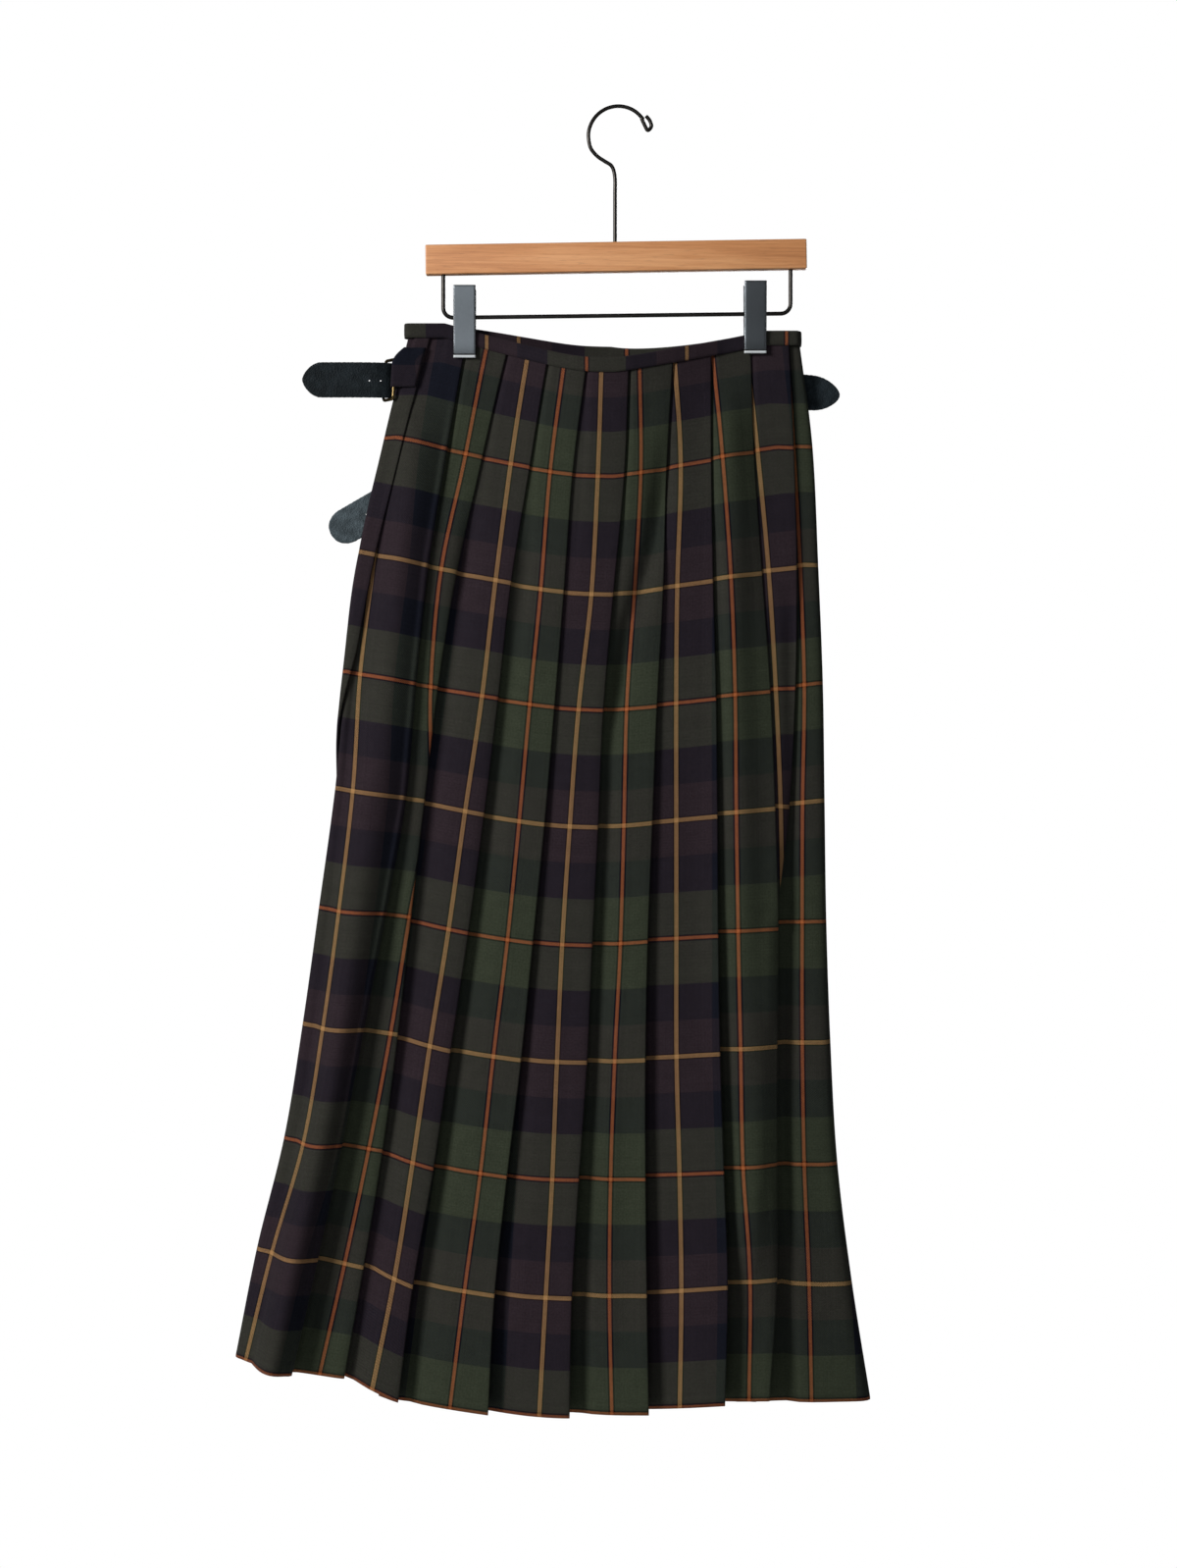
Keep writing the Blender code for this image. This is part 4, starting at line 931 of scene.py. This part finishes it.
def leather(name, colour, sheen):
    """Grained leather, rubbed lighter here and there."""
    finish, shader = plain_material(name, colour, 0.62)
    tree = finish.node_tree
    place = new_node(tree, "TexCoord").outputs["Object"]
    grain = new_node(tree, "TexVoronoi", Scale=800.0, Vector=place).outputs["Distance"]
    lighter = [min(1.0, tone * 1.9 + 0.004) for tone in colour[:3]] + [1.0]
    rubbed = colour_ramp(tree, noise(tree, place, 150.0, 4.0), ((0.35, colour), (0.75, lighter)))
    set_node(shader, Base_Color=rubbed, Sheen_Weight=sheen, Sheen_Roughness=0.4, Specular_IOR_Level=0.12)
    raise_grain(shader, maths(tree, "ADD", grain, noise(tree, place, 260.0, 6.0)), 0.8, 0.0006)
    return finish


def on_over_apron(x, z):
    """Where the middle of a strap sewn on the over-apron lies."""
    row = WeaveLine(place_for(z, x, True))
    return Vector((x, row.far_y(x, row.right_turn) + STRAP_REST, z))


def smooth_route(points, count):
    """A smooth curve through the points, with so many steps between each two."""
    path = [Vector(point) for point in points]
    return [between(path, k / count) for k in range((len(path) - 1) * count + 1)]


def smooth_but(made, degrees, *finishes):
    """Shade a piece smooth but for edges sharper than this, and give it its finishes."""
    made.data.shade_smooth()
    made.data.set_sharp_from_angle(angle=math.radians(degrees))
    for finish in finishes:
        made.data.materials.append(finish)


def strap(node, route, across, tip_length, tip_shape, holes, finish):
    """A strap with eased edges along the route, shaped at its tip and punched with round holes."""
    total = distances(route)[-1]
    dense = []
    for a, b in zip(route, route[1:]):
        dense += [a.lerp(b, t) for t in steps(0.0, 1.0, max(1, round((b - a).length / STRAP_STEP)))[:-1]]
    dense.append(route[-1])
    section = [(-1.0, 0.0), (-0.99, 0.6), (-0.955, 0.92), (-0.85, 1.0)]
    section += [(share, 1.0) for share in steps(-0.6, 0.6, 8)] + [(0.85, 1.0), (0.955, 0.92), (0.99, 0.6)]
    section = section + [(-share, -up) for share, up in section]
    size = len(section)
    points = []
    for k, (centre, gone) in enumerate(zip(dense, distances(dense))):
        run = (dense[min(k + 1, len(dense) - 1)] - dense[max(k - 1, 0)]).normalized()
        normal = across.cross(run).normalized() * (STRAP_THICK / 2)
        left = clamped((total - gone) / tip_length)
        half = STRAP_WIDTH / 2 * (0.08 + 0.92 * (1.0 - (1.0 - left) ** 2) ** tip_shape)
        # The cut edge wavers a little.
        half *= 1.0 + 0.006 * math.sin(1.7 * gone) + 0.004 * math.sin(4.1 * gone + 1.0)
        points += [centre + across * (half * share) + normal * up for share, up in section]
    faces = [tuple(range(size - 1, -1, -1)), tuple(range(len(points) - size, len(points)))]
    for k in range(len(dense) - 1):
        for side in range(size):
            following = (side + 1) % size
            faces.append((size * k + side, size * k + following, size * (k + 1) + following,
                          size * (k + 1) + side))
    made = new_piece(node + "_leather", points, faces)
    work = bmesh.new()
    work.from_mesh(made.data)
    bmesh.ops.recalc_face_normals(work, faces=work.faces)
    work.to_mesh(made.data)
    work.free()
    for x, y, z in holes:
        bpy.ops.mesh.primitive_cylinder_add(vertices=20, radius=HOLE_RADIUS * MM, depth=12.0 * MM,
                                            location=(x * MM, y * MM, z * MM),
                                            rotation=(math.pi / 2, 0.0, 0.0))
        punch = bpy.context.object
        step = made.modifiers.new("hole", "BOOLEAN")
        step.operation = "DIFFERENCE"
        step.solver = "EXACT"
        step.object = punch
        bpy.ops.object.select_all(action="DESELECT")
        made.select_set(True)
        bpy.context.view_layer.objects.active = made
        bpy.ops.object.modifier_apply(modifier="hole")
        bpy.data.objects.remove(punch)
    smooth_but(made, 50.0, finish)
    dress(made, node)


waist_root = [on_over_apron(x, BUCKLE_Z) for x in (-118.0, -132.0, -146.0, -160.0, -172.0)]
waist_free = [(-181.5, 11.8), (-188.0, 10.3), (-194.0, 5.9), (-199.0, 1.7), (-204.5, -0.1), (-212.0, -1.4),
              (-232.0, -2.4), (-273.3, -2.0)]
waist_route = smooth_route(waist_root + [Vector((x, y, BUCKLE_Z)) for x, y in waist_free], 3)
waist_holes = [(-215.3, 0.0, BUCKLE_Z - 0.6), (-205.6, 0.0, BUCKLE_Z - 0.6), (-194.0, 5.9, BUCKLE_Z)]
strap("waist_strap", waist_route, Vector((0.0, 0.0, 1.0)), 16.5, 0.75, waist_holes,
      leather("black_leather", finish_colour(12, 19, 23), 0.05))

hip_run = Vector((HIP_TIP[0] - HIP_ROOT[0], 0.0, HIP_TIP[1] - HIP_ROOT[1]))
hip_over = Vector((0.0, 1.0, 0.0)).cross(hip_run).normalized() * STRAP_WIDTH / 2
hip_pairs = []
for share in (0.0, 0.3):
    hip_x = HIP_ROOT[0] + hip_run.x * share
    hip_z = HIP_ROOT[1] + hip_run.z * share
    hip_pairs.append([on_over_apron(hip_x + side * hip_over.x, hip_z + side * hip_over.z)
                      for side in (-1, 1)])
hip_across = (hip_pairs[0][1] - hip_pairs[0][0]).normalized()
hip_start, hip_edge = [(pair[0] + pair[1]) / 2 for pair in hip_pairs]
hip_start.y = hip_edge.y = max(hip_start.y, hip_edge.y)
hip_end = Vector((HIP_TIP[0], hip_edge.y - 2.0, HIP_TIP[1]))
# The hip strap's leather is mottled like the others, and its lighter blue-grey colour is painted sheen on
# its grain side.
strap("hip_strap", [hip_start, hip_edge, hip_edge.lerp(hip_end, 0.3), hip_end], hip_across, 17.0, 0.5,
      [(-219.0, hip_end.y, -351.0)], leather("rubbed_and_sheen_painted_leather", finish_colour(56, 65, 70), 0.2))

right_root = [on_over_apron(x, RIGHT_Z) for x in (104.0, 118.0, 132.0, 146.0)]
right_route = right_root + [Vector((160.0, right_root[-1].y - 0.3, RIGHT_Z - 1.5)),
                            Vector((192.9, right_root[-1].y - 3.0, RIGHT_Z - 5.0))]
strap("right_strap", right_route, Vector((0.06, 0.0, 1.0)).normalized(), 25.0, 0.7, [],
      leather("suede", finish_colour(16, 24, 29), 0.1))


# ---------------------------------------------------------------- hanger bar
# A straight bar of beech with eased edges under a clear satin varnish.  The hook is screwed into its top,
# and the clip rail's two ends go up into its underside.

BAR_CENTRE = (-1.6, 0.0, -129.6)
BAR_SIZE = (329.8, 12.0, 25.5)
BAR_TILT = -math.radians(0.9)
BAR_EDGE = 1.1             # radius of its eased edges


def varnished_beech():
    """Warm straight-grained wood, with darker slanting lines and short pores."""
    finish, shader = plain_material("hanger_wood", finish_colour(188, 124, 78), 0.42)
    tree = finish.node_tree
    place = new_node(tree, "TexCoord").outputs["Object"]
    grain = []
    for stretch, scale, detail in (((0.9, 3.0, 9.0), 7.0, 5.0), ((1.6, 10.0, 46.0), 12.0, 6.0),
                                   ((14.0, 60.0, 260.0), 6.0, 2.0)):
        turned = new_node(tree, "Mapping", Rotation=(0.0, math.radians(3.2), 0.0), Scale=stretch,
                          Vector=place)
        grain.append(noise(tree, turned.outputs["Vector"], scale, detail))
    bands, lines, pores = grain
    mixed = new_node(tree, "Mix", Factor=0.45, A=bands, B=lines)
    tones = colour_ramp(tree, mixed.outputs["Result"], (
        (0.32, finish_colour(176, 115, 70)), (0.5, finish_colour(203, 140, 90)),
        (0.68, finish_colour(220, 161, 111))))
    pored = new_node(tree, "MapRange", Value=pores, From_Min=0.3, From_Max=0.42, To_Min=0.82, To_Max=1.0)
    shaded = new_node(tree, "VectorMath", operation="SCALE", Vector=tones, Scale=pored.outputs["Result"])
    set_node(shader, Base_Color=shaded.outputs["Vector"], Coat_Weight=0.12, Coat_Roughness=0.35)
    raise_grain(shader, lines, 0.12, 0.0002)
    return finish


def block(name, centre, size, tilt=0.0):
    """A block of this size, left in edit mode with all of it selected."""
    bpy.ops.object.select_all(action="DESELECT")
    bpy.ops.mesh.primitive_cube_add(size=1.0, location=Vector(centre) * MM)
    made = bpy.context.object
    made.name = name
    made.scale = Vector(size) * MM
    made.rotation_euler = (0.0, tilt, 0.0)
    bpy.ops.object.transform_apply(location=True, rotation=True, scale=True)
    bpy.ops.object.mode_set(mode="EDIT")
    bpy.ops.mesh.select_all(action="SELECT")
    return made


bar = block("hanger_bar_wood", BAR_CENTRE, BAR_SIZE, BAR_TILT)
bpy.ops.mesh.bevel(offset=BAR_EDGE * MM, segments=4, profile=0.5)
bpy.ops.object.mode_set(mode="OBJECT")
smooth_but(bar, 50.0, varnished_beech())
dress(bar, "hanger_bar")


# ---------------------------------------------------------------- hook and clip rail
# Dark plated wire.  The hook is bent from one length with a small curl at its end.  The rail is a shallow U
# whose ends go up into the bar, and the clips slide along it.

HOOK_WIRE = 1.65
RAIL_WIRE = 1.8
STEM_X = -2.5
STEM_DEPTH = 11.0          # how far the wires go into the bar
HOOK_CENTRE = (0.4, -24.4)
HOOK_RADIUS = 25.9

# The hook's neck and its end on either side of the round part, as x and z.
HOOK_NECK = ((-2.5, -76.5), (-2.6, -60.0), (-5.2, -50.7), (-11.5, -46.2), (-17.9, -41.8), (-23.6, -34.7))
HOOK_END = ((20.6, -9.2), (23.4, -15.4), (25.9, -19.4), (29.0, -16.0), (27.6, -11.0), (24.4, -7.0))

RAIL_LEFT = (-151.3, -181.7)   # the rail's two lower corners, as x and z
RAIL_RIGHT = (149.6, -178.2)
RAIL_CORNER = 8.5


def bar_edge(x, side):
    """Height of the tilted bar's top (side 1) or bottom (side -1) at x."""
    return BAR_CENTRE[2] - math.tan(BAR_TILT) * (x - BAR_CENTRE[0]) + side * BAR_SIZE[2] / 2


plated = metal("black_wire", finish_colour(54, 52, 50), 0.30, 0.08)
stem_foot = bar_edge(STEM_X, 1) - STEM_DEPTH
hook_route = [(STEM_X, stem_foot), (STEM_X, (stem_foot + HOOK_NECK[0][1]) / 2), *HOOK_NECK,
              *arc(HOOK_CENTRE, HOOK_RADIUS, 180.0, 36.0, 8), *HOOK_END]
hook_path = smooth_route([(x, 0.0, z) for x, z in hook_route], 8)
dress(round_wire("hanger_hook_wire", hook_path, HOOK_WIRE, plated), "hanger_hook")

(left_x, left_z), (right_x, right_z) = RAIL_LEFT, RAIL_RIGHT
rail_route = [(left_x, bar_edge(left_x, -1) + STEM_DEPTH),
              *arc((left_x + RAIL_CORNER, left_z + RAIL_CORNER), RAIL_CORNER, 180.0, 270.0, 10),
              *arc((right_x - RAIL_CORNER, right_z + RAIL_CORNER), RAIL_CORNER, 270.0, 360.0, 10),
              (right_x, bar_edge(right_x, -1) + STEM_DEPTH)]
rail_path = [(x, 0.0, z) for x, z in rail_route]
dress(round_wire("clip_rail_wire", rail_path, RAIL_WIRE, plated), "clip_rail")


# ---------------------------------------------------------------- clips
# Each clip is two plates of dark satin metal, pressed with a rolled lip at the jaw and joined by ears that
# ride on the rail.  They grip the near and the far side of the waistband.

CLIP_WIDTH = 19.3
BACK_NARROWER = 1.0        # how much narrower the far jaw is
CLIP_HEIGHT = 62.2
CLIP_PLATE = 1.2
CLIP_GRIP = (3.4, 14.0)    # the flat jaw's lower and upper end, from the lip's foot
CLIP_TOP = 3.0             # height of the upright edge at the top
CLIP_OPEN = 3.6            # how much further out the plate stands at its top than at the jaw
CLIP_EDGE = 0.4            # radius of the plates' pressed ends
CLIP_SIDE = 1.0            # radius of their long edges, rolled back at both sides
EAR_INSET = (0.9, 2.3)     # from the near and the far plate's side to its ears
EAR_REACH = 3.4            # how far the ears go past the rail's middle
EAR_HEIGHTS = (-3.1, 11.9)  # from the rail's middle to the ears' lower and upper edge
HIGHLIGHT_TOP = 2.35          # tops of the painted highlight on the lip and of the painted shade line just over it
# The dark wire finish between the lip's highlight and this height is a painted shade line, standing for the
# groove's shadow.
SHADE_LINE_TOP = 3.05

# One row for each clip: its name, its middle, its top, and where its near and its far jaw lie.
CLIPS = (("left", -132.5, -155.4, -7.9, 9.8), ("right", 118.6, -151.8, -9.1, 9.8))

# The lip, downwards from the flat jaw: how far down each step goes, and how thick the plate is there.
CLIP_LIP = ((0.3, 0.5), (0.8, 0.5), (0.3, 1.9), (1.5, 1.9), (0.5, 1.1))

satin = metal("clip_metal", finish_colour(98, 102, 106), 0.24, 0.04)
# A pale, non-metal finish for the lip's lowest faces: a painted highlight where the bent metal edge catches
# the light.
lip_painted_highlight = plain_material("painted_highlight_lip", finish_colour(200, 206, 210), 0.35)[0]


def pick(piece, kind, wanted):
    """In edit mode, select only the faces or edges that pass the test."""
    bpy.ops.mesh.select_mode(type=kind)
    bpy.ops.mesh.select_all(action="DESELECT")
    work = bmesh.from_edit_mesh(piece.data)
    for part in work.faces if kind == "FACE" else work.edges:
        if wanted(part):
            part.select_set(True)
    bmesh.update_edit_mesh(piece.data)


def pull(x, y, z):
    """Extrude the selected faces by so much."""
    bpy.ops.mesh.extrude_region_move(TRANSFORM_OT_translate={"value": Vector((x, y, z)) * MM})


def clip_half(name, x, top, jaw, side):
    """One jaw: a flat grip with a lip under it, a plate leaning out above, and two ears round the rail."""
    along_rail = (x - RAIL_LEFT[0]) / (RAIL_RIGHT[0] - RAIL_LEFT[0])
    rail_z = RAIL_LEFT[1] + (RAIL_RIGHT[1] - RAIL_LEFT[1]) * along_rail
    ears = [rail_z + height for height in EAR_HEIGHTS]
    low = top - CLIP_HEIGHT
    grip = [low + height for height in CLIP_GRIP]
    width = CLIP_WIDTH - (BACK_NARROWER if side > 0 else 0.0)
    made = block(name + "_plate", (x, jaw + side * CLIP_PLATE / 2, (grip[0] + grip[1]) / 2),
                 (width, CLIP_PLATE, grip[1] - grip[0]))
    outer = (jaw * side + CLIP_PLATE / 2) * MM
    pick(made, "EDGE", lambda edge: abs(edge.verts[1].co.z - edge.verts[0].co.z) > MM
         and edge.verts[0].co.y * side > outer)
    bpy.ops.mesh.bevel(offset=CLIP_SIDE * MM, segments=4)

    pick(made, "FACE", lambda face: face.normal.z > 0.9)
    height = grip[1]
    for stop in (*ears, top - CLIP_TOP, top):
        lean = 0.0 if stop == top else CLIP_OPEN * (stop - height) / (top - CLIP_TOP - grip[1])
        pull(0.0, side * lean, stop - height)
        height = stop
    pick(made, "FACE", lambda face: face.normal.z < -0.9)
    thick = CLIP_PLATE
    for fall, wanted in CLIP_LIP:
        pull(0.0, 0.0, -fall)
        bpy.ops.transform.resize(value=(1.0, wanted / thick, 1.0), center_override=(0.0, jaw * MM, 0.0))
        thick = wanted

    ear = CLIP_WIDTH / 2 - EAR_INSET[0 if side < 0 else 1]
    for cut in (-ear, CLIP_PLATE - ear, ear - CLIP_PLATE, ear):
        bpy.ops.mesh.select_all(action="SELECT")
        bpy.ops.mesh.bisect(plane_co=((x + cut) * MM, 0.0, 0.0), plane_no=(1.0, 0.0, 0.0))

    def in_ear(face):
        middle = face.calc_center_median() / MM
        return (face.normal.y * side < -0.9 and ear - CLIP_PLATE < abs(middle.x - x) < ear
                and ears[0] < middle.z < ears[1])

    pick(made, "FACE", in_ear)
    pull(0.0, -side * (abs(jaw) + CLIP_OPEN / 2 + EAR_REACH), 0.0)
    bpy.ops.mesh.select_all(action="SELECT")
    bpy.ops.mesh.normals_make_consistent(inside=False)
    bpy.ops.object.mode_set(mode="OBJECT")

    pressed = made.modifiers.new("pressed_edges", "BEVEL")
    pressed.width = CLIP_EDGE * MM
    pressed.segments = 3
    pressed.limit_method = "ANGLE"
    pressed.angle_limit = math.radians(40.0)
    bpy.ops.object.modifier_apply(modifier="pressed_edges")
    smooth_but(made, 31.0, satin, lip_painted_highlight, plated)
    # The lip's lowest faces take the pale finish, a painted highlight, and the faces just over them the
    # dark wire finish, a painted shade line in the groove.
    for face in made.data.polygons:
        if face.center.z < (low + HIGHLIGHT_TOP) * MM:
            face.material_index = 1
        elif face.center.z < (low + SHADE_LINE_TOP) * MM:
            face.material_index = 2
    dress(made, name)


for side_name, clip_x, clip_top, front_jaw, back_jaw in CLIPS:
    clip_half(f"clip_{side_name}_front", clip_x, clip_top, front_jaw, -1)
    clip_half(f"clip_{side_name}_back", clip_x, clip_top, back_jaw, 1)
